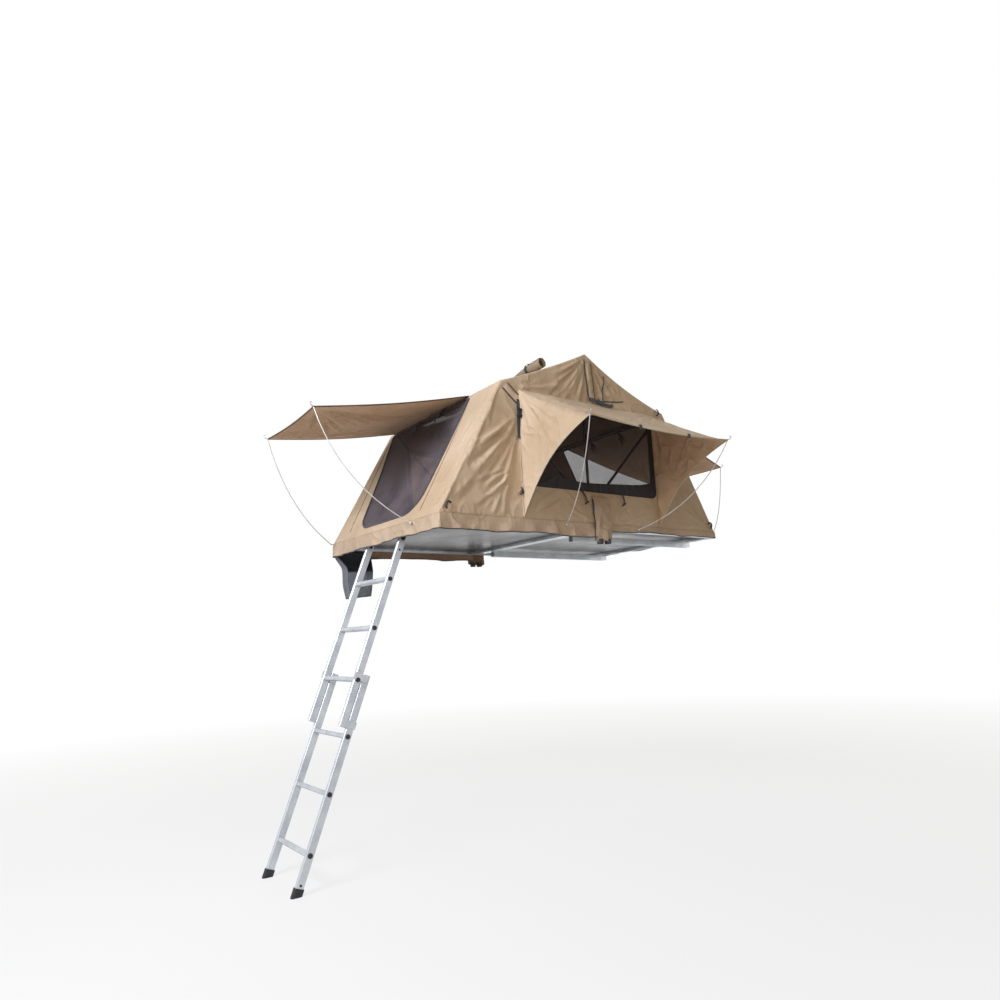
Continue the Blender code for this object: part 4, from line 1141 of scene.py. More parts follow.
        def mapped(y: Grid, b: Grid) -> Grid:
            """Places points of the slope."""
            u = half.value * b * cos(self.roof_slope)
            w = RIDGE_W - b * sin(self.roof_slope)
            points, out = self.roll(u, y, w)
            points = points + self.sag(u, np.zeros_like(u))
            t = np.clip(b / self.roof_length, 0, 1)
            rise = heights(self.roof_folds, y * half.value, b)
            rise += 0.003 * value_noise(y, b, 0.19, 61) - self.roof_hollow * arch(t)
            rise *= self.free(y, b, self.roof_length, self.edge)
            return self.raised(points, out, rise + lift)

        return mapped

    def end(self, half: Half, lift: float = 0.0) -> Mapper:
        """The map of an end wall, whose cut is laid out in y and distance up the slope."""

        def mapped(y: Grid, b: Grid) -> Grid:
            """Places points of the end wall."""
            u = half.value * (PANEL - b * cos(self.end_slope))
            w = b * sin(self.end_slope)
            points, out = self.roll(u, y, w)
            t = np.clip(b / self.end_length, 0, 1)
            rise = heights(self.end_folds, y * half.value, b)
            rise += 0.002 * value_noise(y, b, 0.21, 71) - self.end_hollow * np.sin(pi * t)
            rise *= self.free(y, b, self.end_length, 0.03)
            rise += pucker(y, b, 0.036, 0.014, 0.0012, 72)
            return self.raised(points, out, rise + lift)

        return mapped

    def trace(self, mapper: Mapper, path: Sequence[Point], step: float = 0.012) -> list:
        """Places along a line drawn on a flat cut."""
        points = [np.array(path[0], float)]
        for p, q in zip(path, path[1:]):
            p, q = np.array(p, float), np.array(q, float)
            count = max(1, int(np.hypot(*(q - p)) / step))
            points += [p + (q - p) * k / count for k in range(1, count + 1)]
        flat = np.array(points)
        return [tuple(p) for p in mapper(flat[:, 0], flat[:, 1])]


@dataclass
class Shell:
    """The canvas walls and roof with their windows and doors, in sectors between the bows."""

    gable: Gable
    wear: Wardrobe
    cell: float = 0.010
    net_cell: float = 0.020
    tape_cell: float = 0.012
    window_half: float = 0.577
    window_low: float = 0.210
    window_high: float = 0.760
    window_corner: float = 0.035
    door_near: float = 0.395
    door_far_top: float = 0.630
    door_far_low: float = 0.340
    door_low: float = 0.052
    door_high: float = 0.815
    vent_half: float = 0.530
    vent_near: float = 0.350
    vent_far: float = 0.650

    def window(self, shrink: float = 0.0) -> list:
        """The outline of a window, in u and w."""
        low, high = (-self.window_half, self.window_low), (self.window_half, self.window_high)
        radius = self.window_corner - min(shrink, 0.03)
        return round_corners(rectangle(low, high, shrink), [radius] * 4)

    def window_light(self) -> list:
        """The clear part of a window, inside its black tape, with a slack lower edge."""
        half, wide = 0.535, 0.545
        sill = []
        for t in np.linspace(0, 1, 25):
            slack = 0.050 * abs(2 * t - 1) ** 3 + 0.006 * sin(11 * t)
            sill.append((-half + 2 * half * t, self.window_low + 0.056 + slack))
        top = self.window_high - 0.05
        return [*sill, (wide, 0.36), (wide, top), (-wide, top), (-wide, 0.36)]

    def door(self, half: Half, shrink: float = 0.0) -> list:
        """The outline of a door, in y and distance up the slope."""
        side, steep = half.value, sin(self.gable.end_slope)
        low, high = self.door_low / steep + shrink, self.door_high / steep - shrink
        near = side * (self.door_near - shrink)
        far_top, far_low = (-side * (y - shrink) for y in (self.door_far_top, self.door_far_low))
        corners = [(near, low), (near, high), (far_top, high), (far_low, low)]
        return round_corners(corners, [0.15, 0.02, 0.02, 0.15], 10)

    def declare(self, obj: Piece, cut_area: float, node: str) -> None:
        corners = np.array([v.co for v in obj.data.vertices])
        sides = sorted(corners.max(axis=0) - corners.min(axis=0))
        length = max(float(sides[2]), 0.05)
        width = max(float(sides[1]), cut_area * 1.02 / length)
        if cut_area < 0.32 * width * length:
            width = cut_area * 1.5 / length
        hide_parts(node)

    def sew(
        self, name: str, cut: Cut, mapper: Mapper, outward: Point, sector: Sector, node: str,
        gauge: float = CANVAS_GAUGE, net: Material | None = None,
    ) -> None:
        """Hangs a cut of cloth in its place, as a finished sheet of one sector.

        Args:
            name: the sheet's name.
            cut: the flat cut.
            mapper: gives a place for each point of the cut.
            outward: a direction that its face looks along.
            sector: the part of the shell that it belongs to.
            node: the solid that it stands for.
            gauge: its thickness.
            net: the material of a mesh or its tape; without it, canvas with its inner face in
                painted shade.
        """
        area = cut.area()
        sheet = cut.hang(name, mapper, outward)
        thicken(sheet, gauge, [net] if net else [self.wear.canvas, self.wear.lining])
        self.declare(sheet, area, node)
        sector.drape(sheet, "mesh" if net else "canvas")

    def pipe(
        self, name: str, mapper: Mapper, lines: Sequence, radius: float, look: Material,
        sector: Sector,
    ) -> None:
        """Sews piping along lines drawn on a flat cut."""
        cord = cord_of(name, [self.gable.trace(mapper, line) for line in lines], radius, look)
        sector.drape(cord, "canvas")

    def build(self) -> None:
        """Makes every sheet of the shell."""
        for side in Side:
            self.side(side)
        for half in Half:
            self.roof(half)
            self.end(half)

    def side(self, side: Side) -> None:
        """Makes a side wall, its window's mesh and the tape round it, sector by sector."""
        gable, wear = self.gable, self.wear
        cloth = Cut((-PANEL, 0), (PANEL, RIDGE_W), self.cell)
        cloth.trim([(PANEL, 0), *gable.outline[2:], (-PANEL, 0)])
        low, high = (-0.62, 0.19), (0.62, 0.78)
        net = Cut(low, high, self.net_cell).open(self.window(0.004), keep=True)
        tape = Cut(low, high, self.tape_cell).open(self.window(-0.008), keep=True)
        tape.open(self.window_light())
        for sector in SECTORS[:-1]:
            angle = radians(sector.angles[1])
            for cut in (cloth, net, tape):
                cut.slice((0, HINGE_W), (-sin(angle), cos(angle)))
        cloth.open(self.window())
        outward = (0, side.value, 0)
        for sector in SECTORS:
            for what, cut, lift, node, *rest in (
                ("wall", cloth, 0.0, "side_wall"),
                ("window_mesh", net, -0.0028, "window_mesh", NET_GAUGE, wear.net),
                ("window_tape", tape, 0.0012, "window_mesh", 0.0010, wear.border),
            ):
                self.sew(
                    f"{what}_{side.word}_{sector.name}", cut.part(sector.holds),
                    gable.wall(side, lift), outward, sector, f"{node}_{side.word}", *rest,
                )

    def roof(self, half: Half) -> None:
        """Makes a roof slope. The one that folds out has the vent."""
        gable = self.gable
        sector = SECTORS[1] if half is Half.FIXED else SECTORS[2]
        low, high = (-HALF_WIDTH, 0), (HALF_WIDTH, gable.roof_length)
        cloth = Cut(low, high, self.cell).trim(rectangle(low, high))
        outward = (half.value * 0.3, 0, 1)
        if half is Half.OUT:
            low, high = (-self.vent_half, self.vent_near), (self.vent_half, self.vent_far)
            vent = round_corners(rectangle(low, high), [0.04] * 4)
            net = Cut(*rectangle(low, high, -0.01)[::2], self.net_cell)
            net.open(vent, keep=True)
            self.sew(
                "vent_net", net, gable.roof(half, -0.002), outward, sector, "vent_mesh",
                NET_GAUGE, self.wear.vent_net,
            )
            cloth.open(vent)
            self.pipe(
                "vent_binding", gable.roof(half, 0.001), [[*vent, vent[0]]], 0.005,
                self.wear.piping, sector,
            )
        self.sew(
            f"roof_cloth_{half.word}", cloth, gable.roof(half), outward, sector, f"roof_{half.word}"
        )

    def end(self, half: Half) -> None:
        """Makes an end wall with its door's mesh, binding and seams."""
        gable = self.gable
        sector = SECTORS[0] if half is Half.FIXED else SECTORS[3]
        low, high = (-HALF_WIDTH, 0), (HALF_WIDTH, gable.end_length)
        outward = (half.value, 0, 0.5)
        door = self.door(half)
        cloth = Cut(low, high, self.cell).trim(rectangle(low, high)).open(door)
        net = Cut((-0.66, 0.03), (0.66, 0.96), self.net_cell)
        net.open(self.door(half, 0.003), keep=True)
        self.sew(
            f"end_cloth_{half.word}", cloth, gable.end(half), outward, sector,
            f"end_wall_{half.word}",
        )
        self.sew(
            f"end_mesh_{half.word}", net, gable.end(half, -0.002), outward, sector,
            f"door_mesh_{half.word}", NET_GAUGE, self.wear.door_net,
        )
        on = gable.end(half, 0.0008)
        self.pipe(
            f"door_binding_{half.word}", on, [[*door, door[0]]], 0.006, self.wear.piping, sector
        )
        side = half.value
        seams = [
            [(side * 0.455, 0.06), (side * 0.43, 0.50), (side * 0.40, 0.92)],
            [(-side * 0.50, 0.06), (-side * 0.60, 0.50), (-side * 0.66, 0.92)],
        ]
        self.pipe(f"door_seams_{half.word}", on, seams, 0.0016, self.wear.brown_binding, sector)


# More fans, in the order of the rows above: on the hoods and on the end awnings.
HOOD_FOLDS = (
    ((-0.59, 0.0), (12, 78), (0.45, 0.95), 9, 0.020, 0.0075, 81),
    ((-0.57, 0.69), (-62, -12), (0.25, 0.55), 5, 0.016, 0.0055, 82),
    ((0.59, 0.0), (100, 160), (0.35, 0.7), 6, 0.018, 0.0055, 83),
    ((0.57, 0.69), (190, 240), (0.25, 0.5), 4, 0.016, 0.0045, 84),
    ((-0.60, 0.02), (100, 160), (0.4, 0.8), 7, 0.024, 0.0085, 85),
    ((0.60, 0.02), (20, 80), (0.4, 0.8), 7, 0.022, 0.0070, 86),
)
FLAP_FOLDS = (
    ((0.04, 1.03), (-72, -8), (0.4, 0.95), 9, 0.017, 0.021, 91),
    ((0.94, 1.03), (192, 248), (0.35, 0.8), 7, 0.018, 0.018, 92),
    ((0.02, 0.02), (25, 80), (0.3, 0.6), 5, 0.018, 0.0055, 93),
    ((0.96, 0.02), (100, 155), (0.3, 0.6), 5, 0.018, 0.0055, 94),
)


@dataclass
class Hood:
    """The propped hood over a side window: a sagging top that runs on into two wings."""

    wear: Wardrobe
    side: Side
    root: float = 0.800
    half: float = 0.590
    reach: float = 0.617
    tip: float = 0.474
    foot: float = 0.012
    hollow: float = 0.040
    droop: float = 0.028
    slope: float = 0.70
    wing_spread: float = 0.9
    rows: int = 56
    wing_columns: int = 36
    top_columns: int = 110
    corner_columns: float = 9.0
    relax_steps: int = 60

    def row(self, s: float) -> Grid:
        """Points across the hood at a share of the way from the wall to its free edge."""
        facing = self.side.value
        wall = facing * (HALF_WIDTH + 0.0015)
        creases, wings = [], []
        for end in (-1, 1):
            root = np.array([end * self.half, wall, self.root])
            tip = np.array([end * self.half, wall + facing * self.reach, self.tip])
            foot = np.array([end * self.half, wall, self.foot])
            crease, on_wall = root + (tip - root) * s, root + (foot - root) * s
            creases.append(crease)
            t = np.arange(self.wing_columns)[:, None] / self.wing_columns
            wing = on_wall + (crease - on_wall) * t
            wings.append(wing + (root - wing) * self.hollow * 3 * arch(t) * s)
        t = np.arange(self.top_columns + 1)[:, None] / self.top_columns
        top = creases[0] + (creases[1] - creases[0]) * t
        top[:, 2] -= (self.droop * arch(t) * sin(pi * s * 0.62))[:, 0]
        return np.concatenate([wings[0], top, wings[1][::-1]])

    def flat(self, s: float) -> Grid:
        """Where the points of a row lie along the hood when its cloth is laid flat."""
        t = np.linspace(0, 1, self.wing_columns, endpoint=False)
        wing = self.half + (1 - t) * s * self.wing_spread
        top = np.linspace(-self.half, self.half, self.top_columns + 1)
        return np.concatenate([-wing, top, wing[::-1]])

    def relax(self, points: Grid) -> Grid:
        """Rounds the corner between top and wings, most where the cloth is slack."""
        s = np.linspace(0, 1, self.rows + 1)
        slack = (np.sin(pi * s ** 0.8) ** 0.6)[:, None, None]
        columns = np.arange(points.shape[1])
        corners = (self.wing_columns, self.wing_columns + self.top_columns)
        near = sum(np.exp(-(((columns - c) / self.corner_columns) ** 2)) for c in corners)
        for _ in range(self.relax_steps):
            middle = (np.roll(points, 1, axis=1) + np.roll(points, -1, axis=1)) / 2
            middle[:, 0], middle[:, -1] = points[:, 0], points[:, -1]
            points = points + (middle - points) * near[None, :, None] * slack * 0.9
        return points

    def surface(self) -> tuple[Grid, float]:
        """The folded cloth's points in the frame, and the area that it is cut from."""
        shares = [i / self.rows for i in range(self.rows + 1)]
        points = np.array([self.row(s) for s in shares])
        area = grid_area(points)
        points = self.relax(points)
        normals = grid_normals(points)
        if normals[self.rows // 2, points.shape[1] // 2, 2] < 0:
            normals = -normals
        turned = -self.side.value * np.array([self.flat(s) for s in shares])
        b = np.repeat([[s * self.slope] for s in shares], points.shape[1], axis=1)
        rise = heights(fans(HOOD_FOLDS), turned, b)
        rise += 0.0035 * value_noise(turned, b * 1.3, 0.17, 87 + self.side.value)
        rise *= smooth(b / 0.06) * smooth((self.slope - b) / 0.05)
        return points + normals * rise[:, :, None] + ORIGIN, area

    def build(self) -> None:
        """Makes the hood with its hems, eyelets and hooks."""
        word = self.side.word
        points, area = self.surface()
        cloth = grid_sheet(f"hood_{word}", points, (0, self.side.value * 0.4, 1))
        # The inner face is painted glow: light coming through the canvas, painted into its colour.
        thicken(cloth, CANVAS_GAUGE, [self.wear.canvas, self.wear.shade])
        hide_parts(f"awning_{word}")
        hem = cord_of(f"hood_hem_{word}", [points[-1]], 0.0038, self.wear.binding)
        trims = merge(f"hood_eyelets_{word}", self.eyelets(points[-1]))
        for piece, slot in ((cloth, "awning"), (hem, "awning"), (trims, "black")):
            wear_on(piece, f"awning_{word}")
            gather(piece)

    def eyelets(self, free: Grid) -> list[Piece]:
        """Tabs along the front hem, and the hooks that the rods end in."""
        made = []
        start = self.wing_columns
        for share in (0.335, 0.685):
            at = Vector(free[start + int(self.top_columns * share)])
            tab = solid("cube", size=1, location=at)
            tab.scale = (0.022, 0.010, 0.026)
            bevel(tab, 0.15)
            made.append(settle(tab, self.wear.plastic))
        for k, end in ((start, -1), (start + self.top_columns, 1)):
            out = Vector((end * 0.5, self.side.value, 0.25)).normalized()
            made.append(wire_hook(free[k], out, 0.012, self.wear.steel))
        return made


@dataclass
class EndAwning:
    """The door's flap, propped out from the shoulder to two corners."""

    wear: Wardrobe
    half: Half
    near: float = 0.365
    far: float = 0.630
    tip_near: float = 0.360
    tip_far: float = 0.395
    reach: float = 1.755
    height: float = 0.612
    sag: float = 0.022
    flat_width: float = 0.98
    flat_length: float = 1.06
    rows: int = 70
    columns: int = 84

    def surface(self) -> tuple[Grid, float]:
        """The folded cloth's points in the frame, and the area that it is cut from."""
        sign = self.half.value
        su, sw = SHOULDER
        roots, tips = (
            [np.array([u, sign * y, w]) for y in ys]
            for u, ys, w in (
                (sign * (su + 0.001), (self.near, -self.far), sw - 0.0006),
                (sign * self.reach, (self.tip_near, -self.tip_far), self.height),
            )
        )
        s = np.linspace(0, 1, self.rows + 1)[:, None, None]
        t = np.linspace(0, 1, self.columns + 1)[None, :, None]
        left, right = (root + (tip - root) * s for root, tip in zip(roots, tips))
        points = left + (right - left) * t
        pull = 0.008 * np.sin(pi * t) * s ** 3
        points[:, :, 0] -= (sign * pull)[:, :, 0]
        droop = self.sag * (arch(t) * np.sin(pi * s * 0.88) + 0.72 * np.sin(pi * s))
        points[:, :, 2] -= droop[:, :, 0]
        area = grid_area(points)
        a, b = np.meshgrid(
            np.linspace(0, self.flat_width, self.columns + 1),
            np.linspace(0, self.flat_length, self.rows + 1),
        )
        rise = heights(fans(FLAP_FOLDS), a, b) + 0.003 * value_noise(a, b, 0.19, 95)
        rise *= smooth(b / 0.05) * smooth((self.flat_length - b) / 0.04)
        rise *= smooth(a / 0.04) * smooth((self.flat_width - a) / 0.04)
        points[:, :, 2] += rise
        return points + ORIGIN, area

    def build(self) -> None:
        """Makes the flap with its folds, brown binding, and hooks at the corners."""
        sign, word = self.half.value, self.half.word
        points, area = self.surface()
        cloth = grid_sheet(f"flap_{word}", points, (0, 0, 1))
        # The inner face is painted glow: light coming through the canvas, painted into its colour.
        thicken(cloth, CANVAS_GAUGE, [self.wear.canvas, self.wear.shade])
        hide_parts(f"awning_{word}")
        rim = [*points[:, 0], *points[-1, 1:-1], *points[::-1, -1]]
        hem = cord_of(f"flap_binding_{word}", [rim], 0.0042, self.wear.brown_binding)
        hooks = []
        for corner, end in ((points[-1, 0], sign), (points[-1, -1], -sign)):
            out = Vector((sign, end * 0.4, 0.3)).normalized()
            hooks.append(wire_hook(corner, out, 0.014, self.wear.steel))
        hooks = merge(f"flap_hooks_{word}", hooks)
        for piece, slot in ((cloth, "awning"), (hem, "awning"), (hooks, "steel")):
            wear_on(piece, f"awning_{word}")
            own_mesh(piece)


@dataclass
class Skirt:
    """The canvas band that hangs from the edge of one panel, with a piped hem."""

    wear: Wardrobe
    half: Half
    levels: int = 10
    step: float = 0.012
    fold_depth: float = 0.019
    fold_pitch: float = 0.165
    full_drop: float = 0.089
    short_drop: float = 0.044
    clear: float = 0.0012

    @property
    def drop(self) -> float:
        """How far the band hangs."""
        return self.full_drop if self.half is Half.OUT else self.short_drop

    def route(self) -> Grid:
        """Points and directions out, round the panel from fold to fold: u, y, nu, ny."""
        sign = self.half.value
        side, end, corner = HALF_WIDTH + 0.0004, PANEL + 0.0004, 0.006
        start = 0.003
        us = np.linspace(start, end - corner, round((end - start) / self.step))
        first = [(sign * u, -side, 0, -1) for u in us]
        for k in range(1, 6):
            t = pi / 2 * k / 6
            u, y = end - corner + corner * sin(t), -side + corner - corner * cos(t)
            first.append((sign * u, y, sign * sin(t), -cos(t)))
        across = np.linspace(-side + corner, side - corner, round(2 * side / self.step))
        middle = [(sign * end, y, sign, 0) for y in across]
        last = [(u, -y, nu, -ny) for u, y, nu, ny in reversed(first)]
        return np.array([*first, *middle, *last])

    def level(self, run: Grid, level: float) -> tuple[Grid, Grid]:
        """How far the cloth stands out, and how its edge wavers, at a share of the drop."""
        drift = run + 0.05 * value_noise(run, run * 0, 0.4, 44)
        wave = 0.5 + 0.35 * np.sin(2 * pi * drift / self.fold_pitch)
        wave += 0.15 * np.sin(5.3 * pi * drift + 1)
        out = self.fold_depth * np.abs(wave) ** 1.5 * level ** 1.2 * self.drop / self.full_drop
        out = out + 0.0065 * value_noise(run, run * 0 + level * 0.05, 0.05, 41) * level
        out = out + 0.0016 * np.sin(2 * pi * drift / 0.031) * arch(level)
        hem = 0.008 * value_noise(run, run * 0, 0.16, 43) * level
        return np.maximum(out, self.clear * level), hem

    def build(self) -> None:
        """Makes the band, its hem piping and the stitched line at its top."""
        route = self.route()
        word = self.half.word
        run = np.concatenate([[0], np.cumsum(np.hypot(*np.diff(route[:, :2], axis=0).T))])
        rows = []
        for level in np.linspace(0, 1, self.levels + 1):
            out, hem = self.level(run, level)
            at = route[:, :2] + route[:, 2:] * (out + SKIN)[:, None]
            rows.append(places(at[:, 0], at[:, 1], hem - self.drop * level))
        points = np.array(rows)
        cloth = quilt(points)
        face_out(cloth, (self.half.value, 0, 0))
        band = to_object(f"skirt_cloth_{word}", cloth)
        thicken(band, CANVAS_GAUGE, [self.wear.skirting, self.wear.lining], offset=1)
        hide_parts(f"skirt_{word}")
        out = np.stack([route[:, 2], route[:, 3], 0 * run], axis=1)
        hem = cord_of(f"skirt_hem_{word}", [points[-1] + out * 0.001], 0.0032, self.wear.piping)
        top = points[0] + out * 0.0016 - np.array([0, 0, 0.002])
        seam = cord_of(f"skirt_seam_{word}", [top], 0.0014, self.wear.skirting, 1)
        for piece in (band, hem, seam):
            wear_on(piece, f"base_{word}")


@dataclass
class Sleeve:
    """The loose cover over the fold at one side, with a zip and two open tubes below."""

    wear: Wardrobe
    side: Side
    start: float = -0.030
    length: float = 0.145
    top: float = 0.175
    drop: float = 0.115
    belly: float = 0.030
    gap: float = 0.0022

    def surface(self) -> Grid:
        """The cloth, belled out and loose, with a wavy lower edge."""
        s = np.linspace(0, 1, 41)[:, None]
        t = np.linspace(0, 1, 31)[None, :]
        w = self.top - (self.top + self.drop) * s + 0 * t
        lip = 0.016 * smooth((s - 0.80) / 0.20) * np.sin(2 * pi * t) ** 2
        out = self.belly * np.minimum(1, s * 2.2) * (0.45 + 0.55 * np.sin(pi * t))
        out = out + 0.004 * s * np.sin(4 * pi * t)
        rumple = value_noise(t * 0.15 + 0.1 * s, s * 0.2 + 0 * t, 0.04, 44)
        out = out + 0.008 * rumple * smooth(s / 0.2)
        u = self.start + self.length * t + 0.006 * np.sin(5 * s) * s
        y = self.side.value * (HALF_WIDTH + self.gap + np.maximum(out, 0))
        return places(u, y, w - lip)

    def mouth(self, at: Point) -> Piece:
        """The black ring that a tube ends in."""
        made = solid(
            "cylinder", vertices=24, radius=0.021, depth=0.03, end_fill_type="NGON",
            location=(at[0], at[1] - self.side.value * 0.010, at[2] + 0.012),
        )
        sink_end(made, Vector((0, 0, -1)), 0.003, 0.02)
        return settle(made, self.wear.plastic)

    def build(self) -> None:
        """Makes the cover and its trims."""
        facing, word = self.side.value, self.side.word
        points = self.surface()
        cloth = grid_sheet(f"sleeve_{word}", points, (0, facing, 0))
        thicken(cloth, CANVAS_GAUGE, [self.wear.skirting, self.wear.lining], offset=1)
        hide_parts(f"hinge_sleeve_{word}")
        left = points[3:, 0] + np.array([0, facing * self.gap, 0])
        zip_tape = ribbon(
            f"sleeve_zip_{word}", left, [(0, facing, 0)], 0.012, 0.0012, self.wear.webbing
        )
        mouths = [self.mouth(points[-1, int(30 * share)]) for share in (0.27, 0.73)]
        mouths = merge(f"sleeve_mouths_{word}", mouths)
        for piece, slot in ((cloth, "canvas"), (zip_tape, "black"), (mouths, "black")):
            wear_on(piece, "base_fixed")


# Trims of the near wall in u and w, and distance out of the wall on a strap.
SHOULDER_STRIP = (((-0.708, 0.792), (-0.590, 0.696)), ((-0.672, 0.828), (-0.560, 0.742)))
RIDGE_STRIP = (((-0.022, 1.098), (0.008, 0.822)), ((0.040, 1.090), (0.062, 0.842)))
SHOULDER_STRAP = (
    (-0.600, 0.730, 0.012), (-0.606, 0.685, 0.018), (-0.608, 0.640, 0.022),
    (-0.608, 0.570, 0.016), (-0.605, 0.500, 0.012), (-0.615, 0.482, 0.018),
)
RIDGE_STRAP = (
    (0.000, 0.832, 0.010), (0.030, 0.820, 0.020), (0.065, 0.802, 0.036),
    (0.105, 0.790, 0.048), (0.145, 0.784, 0.056), (0.158, 0.796, 0.060),
)
GUSSET = (
    (0.162, 1.035), (0.145, 0.93), (0.131, 0.836), (0.20, 0.846), (0.27, 0.858), (0.331, 0.877),
)
HOOD_SEAM = ((-0.592, 0.79), (-0.594, 0.40), (-0.592, 0.012))
CORNER = (1.126, 0.046)


@dataclass
class Trims:
    """Strips, straps, buckles, toggles, ties and seams on the shell.

    Places on a wall are those of the near one. The far wall is the near one turned half round.
    """

    gable: Gable
    wear: Wardrobe
    strap_width: float = 0.024
    buckle_size: tuple = (0.058, 0.034, 0.011)

    def on_wall(self, side: Side, u: float, w: float, out: float) -> Vector:
        """The place at u and w on a wall, a distance out from it."""
        return place(-side.value * u, side.value * (HALF_WIDTH + out), w)

    def strip(self, name: str, side: Side, lines: Sequence, body: str) -> None:
        """A sewn-on strip of canvas with black piping on both edges.

        Args:
            name: the strip's name.
            side: the wall that it is sewn to.
            lines: its two edges, each from top to bottom, in u and w.
            body: the bow that it lies on.
        """
        mapper = self.gable.wall(side)
        (a, b), (c, d) = np.array(lines)
        t = np.linspace(0, 1, 7)[:, None]
        rows = []
        for share in np.linspace(0, 1, 17):
            left, right = a + (b - a) * share, c + (d - c) * share
            flat = left + (right - left) * t
            placed = mapper(-side.value * flat[:, 0], flat[:, 1])
            placed[:, 1] += side.value * (0.0035 + 0.006 * np.sin(pi * t[:, 0]))
            rows.append(placed)
        points = np.array(rows)
        cloth = grid_sheet(f"{name}_cloth", points, (0, side.value, 0))
        thicken(cloth, 0.0014, [self.wear.canvas])
        cords = cord_of(f"{name}_piping", [points[:, 0], points[:, -1]], 0.0042, self.wear.piping)
        for piece in (cloth, cords):
            wear_on(piece, body)

    def strap(self, name: str, side: Side, path: Sequence, body: str, buckle_at: int) -> None:
        """A webbing strap with a side-release buckle on it.

        Args:
            name: the strap's name.
            side: the wall that it hangs on.
            path: its points as u, w and distance out from the wall.
            body: what it hangs from.
            buckle_at: the point where the buckle sits.
        """
        facing = Vector((0, side.value, 0))
        corners = [self.on_wall(side, *point) for point in path]
        points = [p.lerp(q, k / 4) for p, q in zip(corners, corners[1:]) for k in range(4)]
        points.append(corners[-1])
        tape = ribbon(
            f"{name}_webbing", points, [facing], self.strap_width, 0.0018, self.wear.webbing
        )
        along = corners[buckle_at + 1] - corners[buckle_at - 1]
        turn = frame_at(corners[buckle_at] + facing * 0.006, along, facing)
        wear_on(merge(name, [tape, self.buckle(turn)]), body)

    def buckle(self, turn: Matrix) -> Piece:
        """A side-release buckle: a waisted body with two raised bars and side slots."""
        body = solid("cube", size=1)
        body.scale = self.buckle_size
        bpy.ops.object.transform_apply(location=False, rotation=False, scale=True)
        bpy.ops.object.mode_set(mode="EDIT")
        bpy.ops.mesh.select_all(action="SELECT")
        bpy.ops.mesh.subdivide(number_cuts=3)
        bpy.ops.object.mode_set(mode="OBJECT")
        for vert in body.data.vertices:
            x = vert.co.x / (self.buckle_size[0] / 2)
            vert.co.y *= 1 - 0.22 * exp(-((x - 0.1) / 0.28) ** 2)
            vert.co.z *= 1 - 0.25 * x ** 2
        bevel(body, 0.0016)
        body.matrix_world = turn
        parts = [settle(body, self.wear.plastic)]
        for shift in (-0.020, 0.016):
            bar = solid("cylinder", vertices=12, radius=0.0028, depth=0.036)
            across = Matrix.Rotation(pi / 2, 4, "X")
            bar.matrix_world = turn @ Matrix.Translation((shift, 0, 0.006)) @ across
            parts.append(settle(bar, self.wear.plastic))
        return merge("buckle", parts)

    def toggle(self, name: str, side: Side, top: Point, bottom: Point, body: str) -> None:
        """A loop of black tape with a toggle, hung on a wall between two places in u and w."""
        facing = Vector((0, side.value, 0))
        p, q = self.on_wall(side, *top, 0.003), self.on_wall(side, *bottom, 0.012)
        path = [p.lerp(q, k / 8) + facing * 0.010 * sin(pi * k / 8) for k in range(9)]
        tape = ribbon("tape", path, [facing], 0.013, 0.002, self.wear.webbing)
        bar = peg(q, 0.0055, 0.036, (0, radians(60), 0), self.wear.plastic)
        wear_on(merge(name, [tape, bar]), body)

    def line(
        self, name: str, side: Side, path: Sequence, radius: float, look: Material
    ) -> Piece:
        """Piping along a line on a side wall."""
        flat = [(-side.value * u, w) for u, w in path]
        return cord_of(name, [self.gable.trace(self.gable.wall(side, 0.0012), flat)], radius, look)

    def hook(self, name: str, side: Side, at: Point, body: str) -> None:
        """An elastic loop with a black hook at a corner of the base."""
        u, w = -side.value * at[0], at[1]
        lean = copysign(1, u)
        path = []
        for share in np.linspace(0, 1, 13):
            angle = radians(20 + 200 * share)
            aside = u - lean * (0.020 * cos(angle) + 0.010 * share)
            out = HALF_WIDTH + 0.008 + 0.006 * sin(pi * share)
            path.append(place(aside, side.value * out, w + 0.020 * sin(angle) - 0.012 * share))
        wear_on(cord_of(name, [path], 0.0058, self.wear.plastic, 3), body)

    def ties(self, half: Half) -> None:
        """Two pairs of tapes, each with a toggle, that hang under the root of an end awning."""
        sign = half.value
        pieces = []
        for y, b in ((-0.075, 0.940), (0.24, 0.935)):
            root = Vector(self.gable.end(half, 0.004)(np.array([-sign * y]), np.array([b]))[0])
            for aside, low in ((-0.020, 0.070), (0.016, 0.090)):
                end = root + Vector((sign * (0.012 + low * 0.56), aside, -low))
                path = [
                    root.lerp(end, k / 6) + Vector((sign * 0.012 * sin(pi * k / 6), 0, 0))
                    for k in range(7)
                ]
                facing = [(sign, 0, 0.4)]
                pieces.append(ribbon("tie", path, facing, 0.016, 0.0018, self.wear.webbing))
            at = root + Vector((sign * 0.036, 0, -0.045))
            pieces.append(peg(at, 0.007, 0.045, (radians(65), 0, 0), self.wear.plastic))
        wear_on(merge(f"door_ties_{half.word}", pieces), f"bow_{half.word}")

